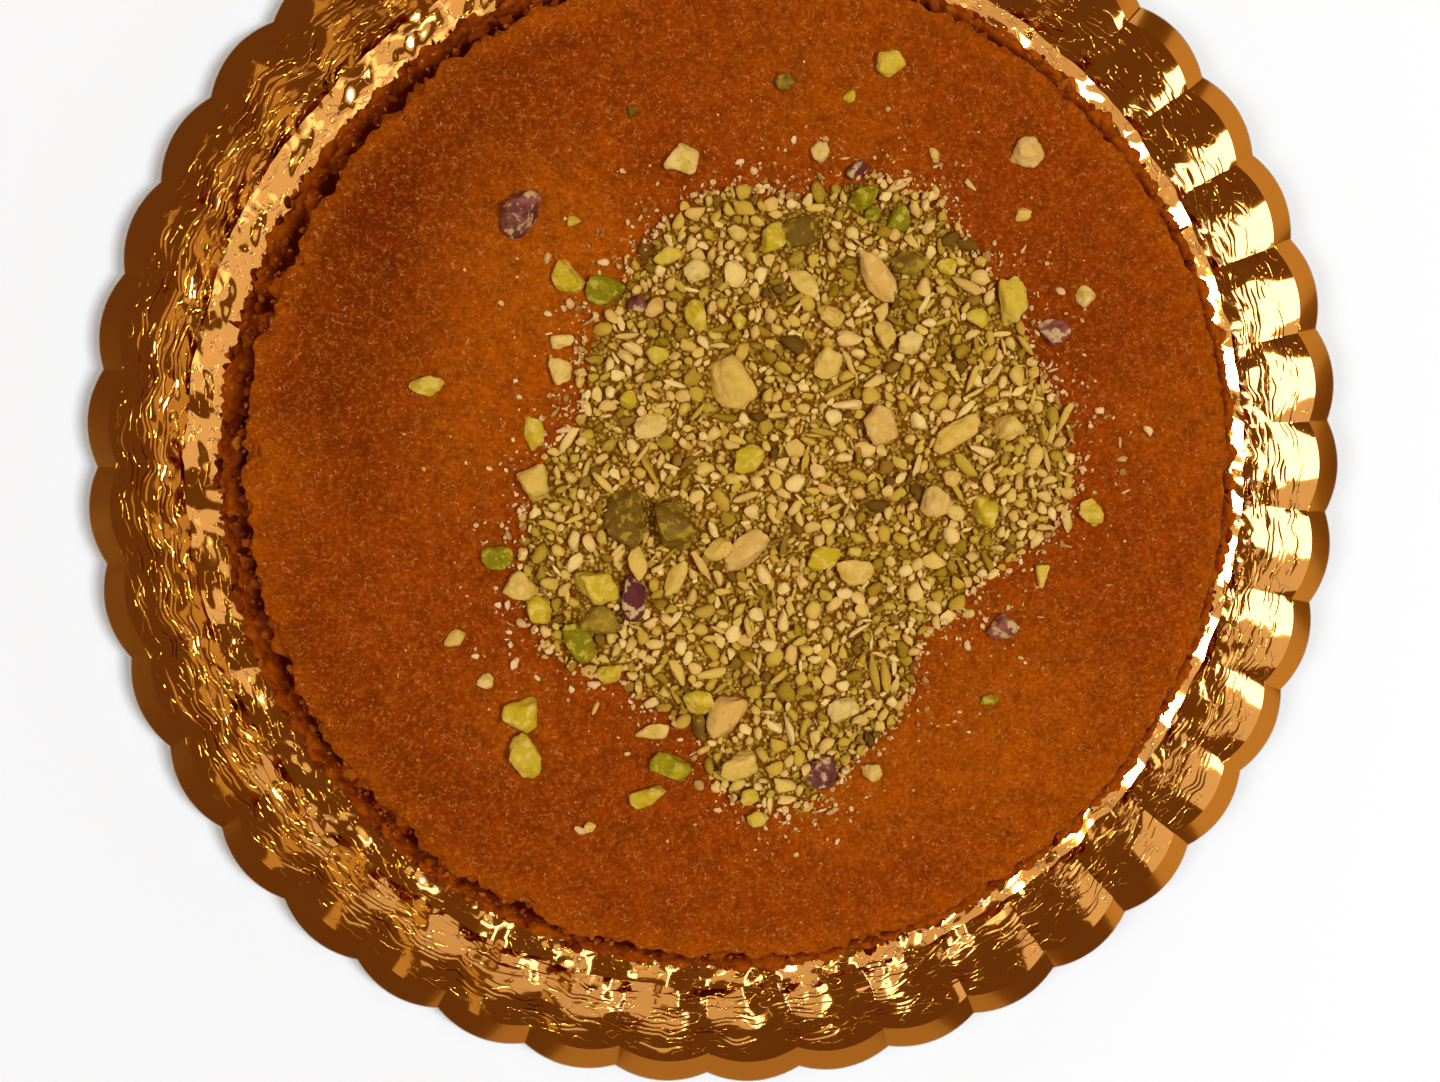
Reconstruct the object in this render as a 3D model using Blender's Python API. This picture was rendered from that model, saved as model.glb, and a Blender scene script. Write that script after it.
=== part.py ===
"""A whole round kunafa on its scalloped gold cake tray, topped with chopped pistachio.

Metres, +Z up. The origin is the middle of the tray's flat underside.
"""

import math
import random

import bmesh
import bpy
from mathutils import Matrix, Vector, geometry, noise

MM = 0.001
SEED = 41

# The tray: foil laid on thin board, pressed into a flat base, a fluted wall and a smooth lip.
TRAY_RADIUS = 150 * MM
BOARD = 1.0 * MM
FLUTES = 41
FLUTE_STEPS = 4
FIRST_CREASE = math.radians(3.4)
BASE_RADIUS = 127.5 * MM
FOOT_RADIUS, FOOT_RISE = 132 * MM, 1.5 * MM
WALL_RADIUS, WALL_RISE = 143.2 * MM, 8.0 * MM
LIP_RADIUS, LIP_RISE = 145.2 * MM, 8.7 * MM
EDGE_RISE = 8.1 * MM
FOOT_SCALLOP, WALL_SCALLOP, LIP_SCALLOP = 0.5 * MM, 2.3 * MM, 2.5 * MM
SHARP_FROM = math.radians(25)

# Touching pieces keep this much air between them.
GAP = 0.3 * MM

# The kunafa: a flat cake turned out of a flared pan, with a crumbly side.
CAKE_X, CAKE_Y = 2.5 * MM, -0.7 * MM
CAKE_FOOT = 123.4 * MM
CAKE_TOP = 114.2 * MM
CAKE_HEIGHT = 20 * MM
CAKE_STEPS = 148
SIDE_LEVELS = (0.0, 0.2, 0.42, 0.64, 0.86)
FOOT_TUCK, FOOT_ROUND = 1.5 * MM, 1.4 * MM
EDGE_ROUND = 1.6 * MM
SHOULDER_OUT = 0.3 * MM
CRAG_DEPTH = 1.3 * MM
CRAG_SPREAD, CRAG_RISE = 7 * MM, 4 * MM
FOOT_RELIEF, SIDE_RELIEF, TOP_RELIEF, SHOULDER_RELIEF = 0.6, 1.0, 0.55, 0.35
TOP_RING = 98 * MM
TOP_SWELL = 0.35 * MM
SWELL_WAVES, SWELL_PHASE = (3, 2), 0.6
CAKE_BOTTOM_Z = BOARD + GAP
CAKE_TOP_Z = CAKE_BOTTOM_Z + CAKE_HEIGHT

# The heap: scoops of chopped nuts (x, y, radius in millimetres), round its edge and then inside.
SCOOPS = (
    (1, 40, 25),
    (31, 43, 25),
    (43, 23, 27),
    (56, 0, 25),
    (36, -17, 24),
    (18, -46, 24),
    (8, -64, 18),
    (-10, -42, 18),
    (-29, -25, 23),
    (-30, -8, 20),
    (-12, 22, 25),
    (12, -4, 34),
    (17, 22, 22),
    (2, -30, 20),
    (-10, -14, 18),
)
SCOOP_FALL = 4.0
SCOOP_FILL = 1.3
HEAP_MIDDLE = (11 * MM, -1 * MM)
HEAP_HEIGHT = 6.8 * MM
HEAP_FLOOR_Z = CAKE_TOP_Z + GAP
HEAP_EDGE = 0.9 * MM
HEAP_REACH = 100 * MM
EDGE_POINTS = 118
EDGE_STRAY = 1.6 * MM
EDGE_SEARCH = 0.25 * MM
CRUMB = 3.7 * MM
CRUMB_BUMP = 0.8 * MM
CRUMB_STRAY = 0.2
CRUMB_CLEAR = 0.6 * CRUMB
MERGE_SPAN = 1e-7

# Nuts that stand out, as (x, y, length, width, turn): millimetres and degrees.
HEAP_NUTS = (
    (-2, 19, 14, 10, -60),
    (32, 43, 12, 6, -55),
    (15, 43, 8, 4, -45),
    (20, 24, 7, 6, 20),
    (34, 30, 7, 4, 95),
    (16, 54, 10, 7, 10),
    (39, 47, 9, 5, 0),
    (38, 57, 7, 5, 80),
    (30, 62, 7, 6, 0),
    (9, 53, 8, 6, 40),
    (-10, 36, 8, 6, 95),
    (-21, 10, 8, 5, 20),
    (2, 2, 8, 6, 0),
    (-26, -10, 13, 9, 85),
    (-15, -12, 13, 10, -60),
    (1, -19, 12, 6, 40),
    (-15, -25, 10, 4, 65),
    (-24, -20, 8, 4, 95),
    (-33, -26, 10, 9, 0),
    (-25, -29, 9, 6, 85),
    (-33, -34, 11, 6, 0),
    (-38, -39, 10, 6, -60),
    (-31, -47, 6, 5, 60),
    (-10, -54, 7, 6, 0),
    (-3, -57, 12, 8, 60),
    (23, -57, 7, 6, 0),
    (19, -72, 8, 7, 60),
    (0, -69, 9, 7, 0),
    (34, 9, 9, 8, -40),
    (51, 7, 11, 6, 35),
    (63, 9, 7, 6, 0),
    (46, -9, 8, 7, -20),
    (57, -11, 8, 6, 90),
    (26, -24, 8, 6, 0),
    (64, 37, 12, 7, 85),
    (-47, -2, 10, 9, 110),
    (-30, 41, 8, 7, 0),
    (-51, -26, 8, 6, -30),
    (-47, -32, 7, 6, 0),
)
LOOSE_NUTS = (
    (-12, 71, 9, 7, 95),
    (-49, 59, 11, 9, 30),
    (-39, 44, 9, 7, 100),
    (-40, 30, 5, 4, 0),
    (-41, 23, 8, 5, 85),
    (-71, 20, 7, 6, 0),
    (-47, 9, 7, 4, 95),
    (-56, -19, 6, 6, 0),
    (-51, -56, 8, 8, 60),
    (-50, -66, 11, 8, 85),
    (-17, -69, 8, 7, 0),
    (-22, -76, 8, 6, 10),
    (-20, -61, 8, 4, 10),
    (31, -72, 6, 5, 0),
    (68, 72, 7, 7, 0),
    (36, 92, 7, 6, 0),
    (12, 88, 4, 4, 0),
    (20, 72, 5, 5, 0),
    (47, 72, 4, 2, 120),
    (68, 58, 4, 3, 20),
    (83, 39, 5, 5, 0),
    (75, 30, 7, 6, 0),
    (84, -12, 6, 6, 0),
    (72, -26, 6, 4, 70),
    (62, -39, 6, 6, 0),
    (59, -56, 4, 3, 0),
    (-66, -38, 5, 4, 70),
    (-59, -48, 4, 3, 0),
    (-36, -83, 3, 3, 0),
    (-23, 82, 3, 3, 0),
)
FINE_NUTS = 46
FINE_NUT_LENGTH = (4.0 * MM, 6.5 * MM)
FINE_NUT_WIDTH = (0.65, 0.9)
FINE_NUT_COVER = 0.12
NUT_SPACE = 0.6 * MM
NUT_POINTS = 12
NUT_THICKNESS = 0.72
NUT_UNEVEN = (0.85, 1.1)
NUT_STRAY = 0.35
NUT_TILT = 0.3
NUT_LIFT = 0.1
NUT_FOOT = 0.05 * MM
LOOSE_SINK = 0.25
LOOSE_FOOT = 0.4 * MM


def finish(name, colour, roughness, metallic):
    """Make one plain Principled finish."""
    made = bpy.data.materials.new(name)
    made.use_nodes = True
    shader = made.node_tree.nodes["Principled BSDF"]
    shader.inputs["Base Color"].default_value = (*colour, 1.0)
    shader.inputs["Roughness"].default_value = roughness
    shader.inputs["Metallic"].default_value = metallic
    return made


def solid(name, bm, material=None):
    """Turn a bmesh into a named object with its faces pointing out."""
    bmesh.ops.recalc_face_normals(bm, faces=bm.faces)
    mesh = bpy.data.meshes.new(name)
    bm.to_mesh(mesh)
    bm.free()
    if material:
        mesh.materials.append(material)
    made = bpy.data.objects.new(name, mesh)
    bpy.context.scene.collection.objects.link(made)
    return made


def closed_skin(bm, rings):
    """Bridge closed rings of points with quads and cap the first and the last."""
    loops = [[bm.verts.new(point) for point in ring] for ring in rings]
    for near, far in zip(loops, loops[1:]):
        for here in range(len(near)):
            after = (here + 1) % len(near)
            bm.faces.new((near[here], near[after], far[after], far[here]))
    bm.faces.new(loops[0])
    bm.faces.new(loops[-1])


def tray_ring(radius, height, scallop):
    """One level of the tray: full radius in mid-flute, a scallop less at its two creases."""
    ring = []
    for step in range(FLUTES * FLUTE_STEPS):
        across = 2.0 * (step % FLUTE_STEPS) / FLUTE_STEPS - 1.0
        angle = FIRST_CREASE + math.tau * step / (FLUTES * FLUTE_STEPS)
        reach = radius - scallop * across**2
        ring.append((reach * math.cos(angle), reach * math.sin(angle), height))
    return ring


def make_tray():
    """The pressed board: its upper face outward, round the edge, and its underside back in."""
    levels = (
        (BASE_RADIUS, 0.0, 0.0),
        (FOOT_RADIUS, FOOT_RISE, FOOT_SCALLOP),
        (WALL_RADIUS, WALL_RISE, WALL_SCALLOP),
        (LIP_RADIUS, LIP_RISE, LIP_SCALLOP),
        (TRAY_RADIUS, EDGE_RISE, LIP_SCALLOP),
    )
    upper = [tray_ring(radius, rise + BOARD, scallop) for radius, rise, scallop in levels]
    under = [tray_ring(radius, rise, scallop) for radius, rise, scallop in levels]
    bm = bmesh.new()
    closed_skin(bm, upper + under[::-1])
    tray = solid("gold_tray", bm, finish("gold foil board", (0.62, 0.33, 0.08), 0.28, 1.0))
    tray.data.shade_smooth()
    tray.data.set_sharp_from_angle(angle=SHARP_FROM)
    return tray


def crag(angle, height):
    """How far the crumbly side stands out or falls in at one place."""
    round_x = CAKE_FOOT * math.cos(angle) / CRAG_SPREAD
    round_y = CAKE_FOOT * math.sin(angle) / CRAG_SPREAD
    return CRAG_DEPTH * noise.noise(Vector((round_x, round_y, height / CRAG_RISE)))


def cake_ring(radius, height, relief=0.0, swell=0.0):
    """One level of the cake, with its share of the side's crags or of the top's slow swell."""
    ring = []
    for step in range(CAKE_STEPS):
        angle = math.tau * step / CAKE_STEPS
        reach = radius + relief * crag(angle, height)
        wave = math.sin(SWELL_WAVES[0] * angle + SWELL_PHASE) * math.cos(SWELL_WAVES[1] * angle)
        x = CAKE_X + reach * math.cos(angle)
        y = CAKE_Y + reach * math.sin(angle)
        ring.append((x, y, CAKE_BOTTOM_Z + height + swell * wave))
    return ring


def make_cake():
    """The kunafa: a flared side with crags, a rounded edge and a flat middle."""
    rings = [cake_ring(CAKE_FOOT - FOOT_TUCK, 0.0, relief=FOOT_RELIEF)]
    for level in SIDE_LEVELS:
        height = FOOT_ROUND + level * (CAKE_HEIGHT - EDGE_ROUND - FOOT_ROUND)
        radius = CAKE_FOOT + (CAKE_TOP - CAKE_FOOT) * height / CAKE_HEIGHT
        relief = SIDE_RELIEF + (TOP_RELIEF - SIDE_RELIEF) * level
        rings.append(cake_ring(radius, height, relief=relief))
    shoulder = CAKE_HEIGHT - EDGE_ROUND / 2.0
    radius = CAKE_TOP + SHOULDER_OUT
    rings.append(cake_ring(radius, shoulder, relief=SHOULDER_RELIEF, swell=TOP_SWELL))
    rings.append(cake_ring(CAKE_TOP - EDGE_ROUND, CAKE_HEIGHT, swell=TOP_SWELL))
    rings.append(cake_ring(TOP_RING, CAKE_HEIGHT))
    bm = bmesh.new()
    closed_skin(bm, rings)
    return solid("kunafa", bm, finish("browned semolina crust", (0.29, 0.05, 0.003), 0.55, 0.0))


def scoop_cover(x, y):
    """How deep a place lies in the scoops, which run together: nought at the heap's edge."""
    cover = -math.exp(-SCOOP_FALL)
    for scoop_x, scoop_y, radius in SCOOPS:
        away = math.hypot(x - scoop_x * MM, y - scoop_y * MM) / (radius * MM)
        cover += math.exp(-SCOOP_FALL * away**2)
    return cover


def heap_height(x, y):
    """The heap's height over its floor, without its crumbs."""
    return HEAP_EDGE + HEAP_HEIGHT * (1.0 - math.exp(-SCOOP_FILL * scoop_cover(x, y)))


def heap_edge(angle, rng):
    """The outermost place that the scoops reach in one direction from the middle, give or take."""
    way = Vector((math.cos(angle), math.sin(angle)))
    reach = HEAP_REACH
    while scoop_cover(*(Vector(HEAP_MIDDLE) + way * reach)) < 0.0:
        reach -= EDGE_SEARCH
    return Vector(HEAP_MIDDLE) + way * (reach - rng.uniform(0.0, EDGE_STRAY))


def make_heap_core(rng):
    """The body of the heap: crumbs laid out in staggered rows over its flat floor."""
    edge = [heap_edge(math.tau * step / EDGE_POINTS, rng) for step in range(EDGE_POINTS)]
    inner = []
    row_step = CRUMB * math.sqrt(3.0) / 2.0
    rows = int(HEAP_REACH / row_step)
    for row in range(-rows, rows + 1):
        for column in range(-rows, rows + 1):
            stray = Vector((rng.uniform(-1.0, 1.0), rng.uniform(-1.0, 1.0))) * CRUMB_STRAY * CRUMB
            place = Vector(((column + 0.5 * (row % 2)) * CRUMB, row * row_step))
            spot = Vector(HEAP_MIDDLE) + place + stray
            if scoop_cover(*spot) > 0.0 and min((spot - rim).length for rim in edge) > CRUMB_CLEAR:
                inner.append(spot)
    border = [(step, (step + 1) % EDGE_POINTS) for step in range(EDGE_POINTS)]
    flat = geometry.delaunay_2d_cdt(edge + inner, border, [], 1, MERGE_SPAN)
    bm = bmesh.new()
    top = []
    for count, spot in enumerate(flat[0]):
        height = HEAP_EDGE
        if count >= EDGE_POINTS:
            height = heap_height(spot.x, spot.y) + rng.uniform(-1.0, 1.0) * CRUMB_BUMP
        top.append(bm.verts.new((spot.x, spot.y, HEAP_FLOOR_Z + height)))
    for face in flat[2]:
        bm.faces.new([top[corner] for corner in face])
    floor = [bm.verts.new((spot.x, spot.y, HEAP_FLOOR_Z)) for spot in edge]
    for here, after in border:
        bm.faces.new((top[here], floor[here], floor[after], top[after]))
    bm.faces.new(floor)
    return solid("pistachio_heap", bm, finish("chopped pistachio", (0.35, 0.20, 0.035), 0.6, 0.0))


def make_nut(place, length, width, turn, floor, rng):
    """A chopped nut: the hull of a few points strewn over an egg, cut off flat at its floor."""
    bm = bmesh.new()
    half = Vector((length, width, width * NUT_THICKNESS)) / 2.0
    tilt = rng.uniform(-NUT_TILT, NUT_TILT)
    pose = Matrix.Rotation(turn, 3, "Z") @ Matrix.Rotation(tilt, 3, "X")
    golden_turn = math.pi * (3.0 - math.sqrt(5.0))
    for count in range(NUT_POINTS):
        level = 1.0 - 2.0 * (count + 0.5) / NUT_POINTS
        around = count * golden_turn + rng.uniform(-NUT_STRAY, NUT_STRAY)
        ring = math.sqrt(1.0 - level**2)
        point = Vector((ring * math.cos(around), ring * math.sin(around), level))
        point = place + pose @ (point * half) * rng.uniform(*NUT_UNEVEN)
        point.z = max(point.z, floor)
        bm.verts.new(point)
    hull = bmesh.ops.convex_hull(bm, input=bm.verts)
    spare = [item for item in hull["geom_interior"] if isinstance(item, bmesh.types.BMVert)]
    bmesh.ops.delete(bm, geom=spare, context="VERTS")
    return solid("nut", bm)


def largest_shell(bm):
    """Drop every shell but the largest: loose scraps, and hollows that fusing has sealed."""
    shells = []
    for start in bm.verts:
        if start.tag:
            continue
        start.tag = True
        shell = [start]
        for vert in shell:
            for edge in vert.link_edges:
                other = edge.other_vert(vert)
                if not other.tag:
                    other.tag = True
                    shell.append(other)
        shells.append(shell)
    shells.sort(key=len)
    for shell in shells[:-1]:
        bmesh.ops.delete(bm, geom=shell, context="VERTS")


def fuse(body, nuts):
    """Join the nuts to the body that carries them, and keep the one solid that comes of it."""
    collection = bpy.data.collections.new("nuts on " + body.name)
    for nut in nuts:
        bpy.context.scene.collection.objects.unlink(nut)
        collection.objects.link(nut)
    bpy.context.scene.collection.children.link(collection)
    join = body.modifiers.new("fuse", "BOOLEAN")
    join.operation = "UNION"
    join.operand_type = "COLLECTION"
    join.collection = collection
    join.solver = "EXACT"
    fused = bpy.data.meshes.new_from_object(body.evaluated_get(bpy.context.evaluated_depsgraph_get()))
    body.modifiers.clear()
    bm = bmesh.new()
    bm.from_mesh(fused)
    largest_shell(bm)
    bm.to_mesh(body.data)
    bm.free()
    bpy.data.meshes.remove(fused)
    for nut in nuts:
        bpy.data.objects.remove(nut)
    bpy.data.collections.remove(collection)


def spread_fine_nuts(rng):
    """Places for the smaller nuts that show, none nearer to another than its own length."""
    places = [(x * MM, y * MM, length * MM) for x, y, length, _, _ in HEAP_NUTS + LOOSE_NUTS]
    fine = []
    while len(fine) < FINE_NUTS:
        x = HEAP_MIDDLE[0] + rng.uniform(-HEAP_REACH, HEAP_REACH)
        y = HEAP_MIDDLE[1] + rng.uniform(-HEAP_REACH, HEAP_REACH)
        length = rng.uniform(*FINE_NUT_LENGTH)
        apart = min(math.hypot(x - ox, y - oy) - (length + other) / 2.0 for ox, oy, other in places)
        if scoop_cover(x, y) > FINE_NUT_COVER and apart > NUT_SPACE:
            places.append((x, y, length))
            turn = rng.uniform(0.0, 180.0)
            width = length * rng.uniform(*FINE_NUT_WIDTH)
            fine.append((x / MM, y / MM, length / MM, width / MM, turn))
    return fine


def heap_nuts(rng):
    """The nuts that lie in the heap's surface, the largest first."""
    made = []
    for x, y, length, width, turn in HEAP_NUTS + tuple(spread_fine_nuts(rng)):
        spot = Vector((x, y, 0)) * MM
        spot.z = HEAP_FLOOR_Z + heap_height(spot.x, spot.y) + NUT_LIFT * width * MM
        floor = HEAP_FLOOR_Z + NUT_FOOT
        made.append(make_nut(spot, length * MM, width * MM, math.radians(turn), floor, rng))
    return made


def loose_nuts(rng):
    """The nuts strewn on the crust round the heap, each sunk in a little."""
    made = []
    for x, y, length, width, turn in LOOSE_NUTS:
        height = width * NUT_THICKNESS * MM
        spot = Vector((x * MM, y * MM, CAKE_TOP_Z + (0.5 - LOOSE_SINK) * height))
        floor = CAKE_TOP_Z - LOOSE_FOOT
        made.append(make_nut(spot, length * MM, width * MM, math.radians(turn), floor, rng))
    return made


def main():
    for old in list(bpy.data.objects):
        bpy.data.objects.remove(old)
    rng = random.Random(SEED)
    make_tray()
    fuse(make_cake(), loose_nuts(rng))
    fuse(make_heap_core(rng), heap_nuts(rng))


main()
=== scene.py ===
# %% [markdown]
# # A whole kunafa on its gold cake tray
#
# Kunafa is a flat pastry of browned semolina over soft cheese. This one is turned out on a tray
# of gold foil and strewn with chopped pistachio. The lesson dresses three plain solids, the tray,
# the cake and the heap of nuts, with fine meshes and finishes that keep the solids' form.
# Everything is in metres, with +Z up and the origin in the middle of the tray's underside.

# %% Load the solids
import math

import bmesh
import bpy
import numpy as np
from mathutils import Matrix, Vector, noise


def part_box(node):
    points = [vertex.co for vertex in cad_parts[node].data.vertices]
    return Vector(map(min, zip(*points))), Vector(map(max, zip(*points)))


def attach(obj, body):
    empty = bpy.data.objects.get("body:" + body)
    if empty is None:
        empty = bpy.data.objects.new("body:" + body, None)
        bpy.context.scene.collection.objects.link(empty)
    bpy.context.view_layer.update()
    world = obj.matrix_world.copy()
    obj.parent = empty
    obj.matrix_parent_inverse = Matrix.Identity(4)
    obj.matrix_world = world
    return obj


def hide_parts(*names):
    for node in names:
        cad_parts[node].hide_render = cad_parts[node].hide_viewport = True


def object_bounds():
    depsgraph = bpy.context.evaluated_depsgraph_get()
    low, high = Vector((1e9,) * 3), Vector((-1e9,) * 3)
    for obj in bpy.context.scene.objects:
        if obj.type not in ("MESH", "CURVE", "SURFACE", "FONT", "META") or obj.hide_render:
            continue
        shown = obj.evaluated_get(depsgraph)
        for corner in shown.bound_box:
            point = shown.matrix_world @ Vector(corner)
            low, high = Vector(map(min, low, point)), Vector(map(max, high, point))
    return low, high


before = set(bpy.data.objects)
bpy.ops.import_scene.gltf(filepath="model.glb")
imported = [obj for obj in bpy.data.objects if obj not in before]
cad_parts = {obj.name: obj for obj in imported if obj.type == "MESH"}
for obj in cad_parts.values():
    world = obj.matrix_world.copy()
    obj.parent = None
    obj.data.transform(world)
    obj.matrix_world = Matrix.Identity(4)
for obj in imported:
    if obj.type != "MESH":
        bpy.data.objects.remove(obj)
cad_low, cad_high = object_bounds()
print("solids:", sorted(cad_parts), "size in mm:", [round(1000 * side) for side in cad_high - cad_low])

# %% [markdown]
# ## Sizes
#
# The fine meshes keep the sizes that the solids were made with, so those are named again here.
# Only the tray's profile has one more corner, low in its wall, where the foil bends softly. The
# heights that can be read off the solids are read, and not written twice.

# %% Name the sizes of the tray, the cake and the heap
MM = 0.001

BOARD = 1.0 * MM
FLUTES = 41
FIRST_CREASE = math.radians(3.4)
PROFILE_RADIUS = np.array((100.0, 128.8, 132.0, 138.0, 144.8, 150.0)) * MM
PROFILE_RISE = np.array((0.0, 0.0, 1.46, 4.6, 8.65, 8.0)) * MM
PROFILE_SCALLOP = np.array((0.0, 0.0, 0.5, 1.4, 2.5, 2.5)) * MM

CAKE_X, CAKE_Y = 2.5 * MM, -0.7 * MM  # the cake sits a little off the tray's middle
CAKE_FOOT = 123.4 * MM
CAKE_TOP = 114.2 * MM
CAKE_HEIGHT = 20 * MM
CRAG_DEPTH = 1.3 * MM
CRAG_SIZE = np.array((7.0, 7.0, 4.0)) * MM
CAKE_BOTTOM_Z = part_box("kunafa")[0].z
CAKE_TOP_Z = CAKE_BOTTOM_Z + CAKE_HEIGHT

# the heap's scoops of nuts: x, y and radius in millimetres
SCOOPS = (
    (1, 40, 25),
    (31, 43, 25),
    (43, 23, 27),
    (56, 0, 25),
    (36, -17, 24),
    (18, -46, 24),
    (8, -64, 18),
    (-10, -42, 18),
    (-29, -25, 23),
    (-30, -8, 20),
    (-12, 22, 25),
    (12, -4, 34),
    (17, 22, 22),
    (2, -30, 20),
    (-10, -14, 18),
)
SCOOP_FALL = 4.0
SCOOP_FILL = 1.3
HEAP_X, HEAP_Y = 11 * MM, -1 * MM
HEAP_HEIGHT = 6.8 * MM
HEAP_EDGE = 0.9 * MM
HEAP_FLOOR_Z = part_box("pistachio_heap")[0].z
print("cake top at", round(CAKE_TOP_Z / MM, 2), "mm, heap floor at", round(HEAP_FLOOR_Z / MM, 2), "mm")

# %% [markdown]
# ## Camera
#
# The picture is taken from almost straight above, half a metre up, with a normal lens. The place
# was found by fitting the tray's creases, so the camera stands a little left of the middle and
# leans back towards it.

# %% Set up the camera
CAMERA_PLACE = Vector((-51.35, 15.99, 482.7)) * MM
CAMERA_TURNS = (-3.963, -5.869, -0.848)

camera = bpy.data.objects.new("camera", bpy.data.cameras.new("camera"))
camera.data.lens = 50
camera.data.sensor_width = 36
camera.data.sensor_fit = "HORIZONTAL"
camera.data.clip_start = 0.02
camera.location = CAMERA_PLACE
camera.rotation_euler = [math.radians(turn) for turn in CAMERA_TURNS]
bpy.context.scene.collection.objects.link(camera)
bpy.context.scene.camera = camera
print("camera height:", round(camera.location.z / MM), "mm")

# %% [markdown]
# ## A short way to write shader sums
#
# A finish is a tree of nodes. Wiring each one by hand hides the idea under the plumbing, so small
# classes do it. A Wire is one socket, and sums written with it add Math nodes. A Paint is one
# material, with one method that adds any other node.

# %% Wrap a socket so that sums can be written as sums
class Wire:
    """One socket of a finish, which plain sums can be done with."""

    def __init__(self, finish, socket):
        self.finish = finish
        self.socket = socket

    def maths(self, operation, left, right):
        """A Math node on two values or wires."""
        return self.finish.node("Math", {"operation": operation}, {0: left, 1: right})

    def __add__(self, other):
        return self.maths("ADD", self, other)

    def __radd__(self, other):
        return self.maths("ADD", other, self)

    def __sub__(self, other):
        return self.maths("SUBTRACT", self, other)

    def __rsub__(self, other):
        return self.maths("SUBTRACT", other, self)

    def __mul__(self, other):
        return self.maths("MULTIPLY", self, other)

    def __rmul__(self, other):
        return self.maths("MULTIPLY", other, self)


print("a Wire can be added to, taken from and multiplied with numbers and wires")

# %% Wrap a material
class Paint:
    """One material, built from nodes round a Principled shader."""

    def __init__(self, name):
        self.material = bpy.data.materials.new(name)
        self.material.use_nodes = True
        self.tree = self.material.node_tree
        self.shader = self.tree.nodes["Principled BSDF"]
        self.place = self.node("TexCoord", take="Object")

    def node(self, kind, settings=None, sockets=None, take=0):
        """Add a node: its settings first, then the values or wires of its sockets."""
        made = self.tree.nodes.new("ShaderNode" + kind)
        for name, value in (settings or {}).items():
            if name == "stops":
                self.set_stops(made.color_ramp, value)
            else:
                setattr(made, name, value)
        for name, value in (sockets or {}).items():
            self.feed(self.pick(made.inputs, name), value)
        return Wire(self, self.pick(made.outputs, take))

    @staticmethod
    def pick(sockets, name):
        """A socket by its number, or by its name among those in use."""
        if isinstance(name, int):
            return sockets[name]
        in_use = [socket for socket in sockets if socket.enabled]
        return next(socket for socket in in_use if name in (socket.name, socket.identifier))

    def feed(self, socket, value):
        """Join a wire to a socket, or set the socket's own value."""
        if isinstance(value, Wire):
            self.tree.links.new(value.socket, socket)
        elif socket.type == "RGBA":
            socket.default_value = (*value, 1.0)
        else:
            socket.default_value = value

    @staticmethod
    def set_stops(ramp, stops):
        """Give a colour ramp its stops, as (place, colour)."""
        while len(ramp.elements) < len(stops):
            ramp.elements.new(1.0)
        for element, (place, colour) in zip(ramp.elements, stops):
            element.position = place
            element.color = (*colour, 1.0)

    def shade(self, **sockets):
        """Set or wire the Principled shader's sockets, named with _ for a space."""
        for name, value in sockets.items():
            self.feed(self.shader.inputs[name.replace("_", " ").title().replace("Ior", "IOR")], value)


print("a Paint can add any node, and set the Principled shader")

# %% [markdown]
# ### Patterns that the finishes share
#
# Crust, nut and foil are made of the same few patterns: soft clouds, round spots in some cells
# of a honeycomb, and thin veins where a cloud passes its middle value. A Finish is a Paint that
# knows them. Sizes are given in metres, as on the real thing, and not as a texture's scale.

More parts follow.
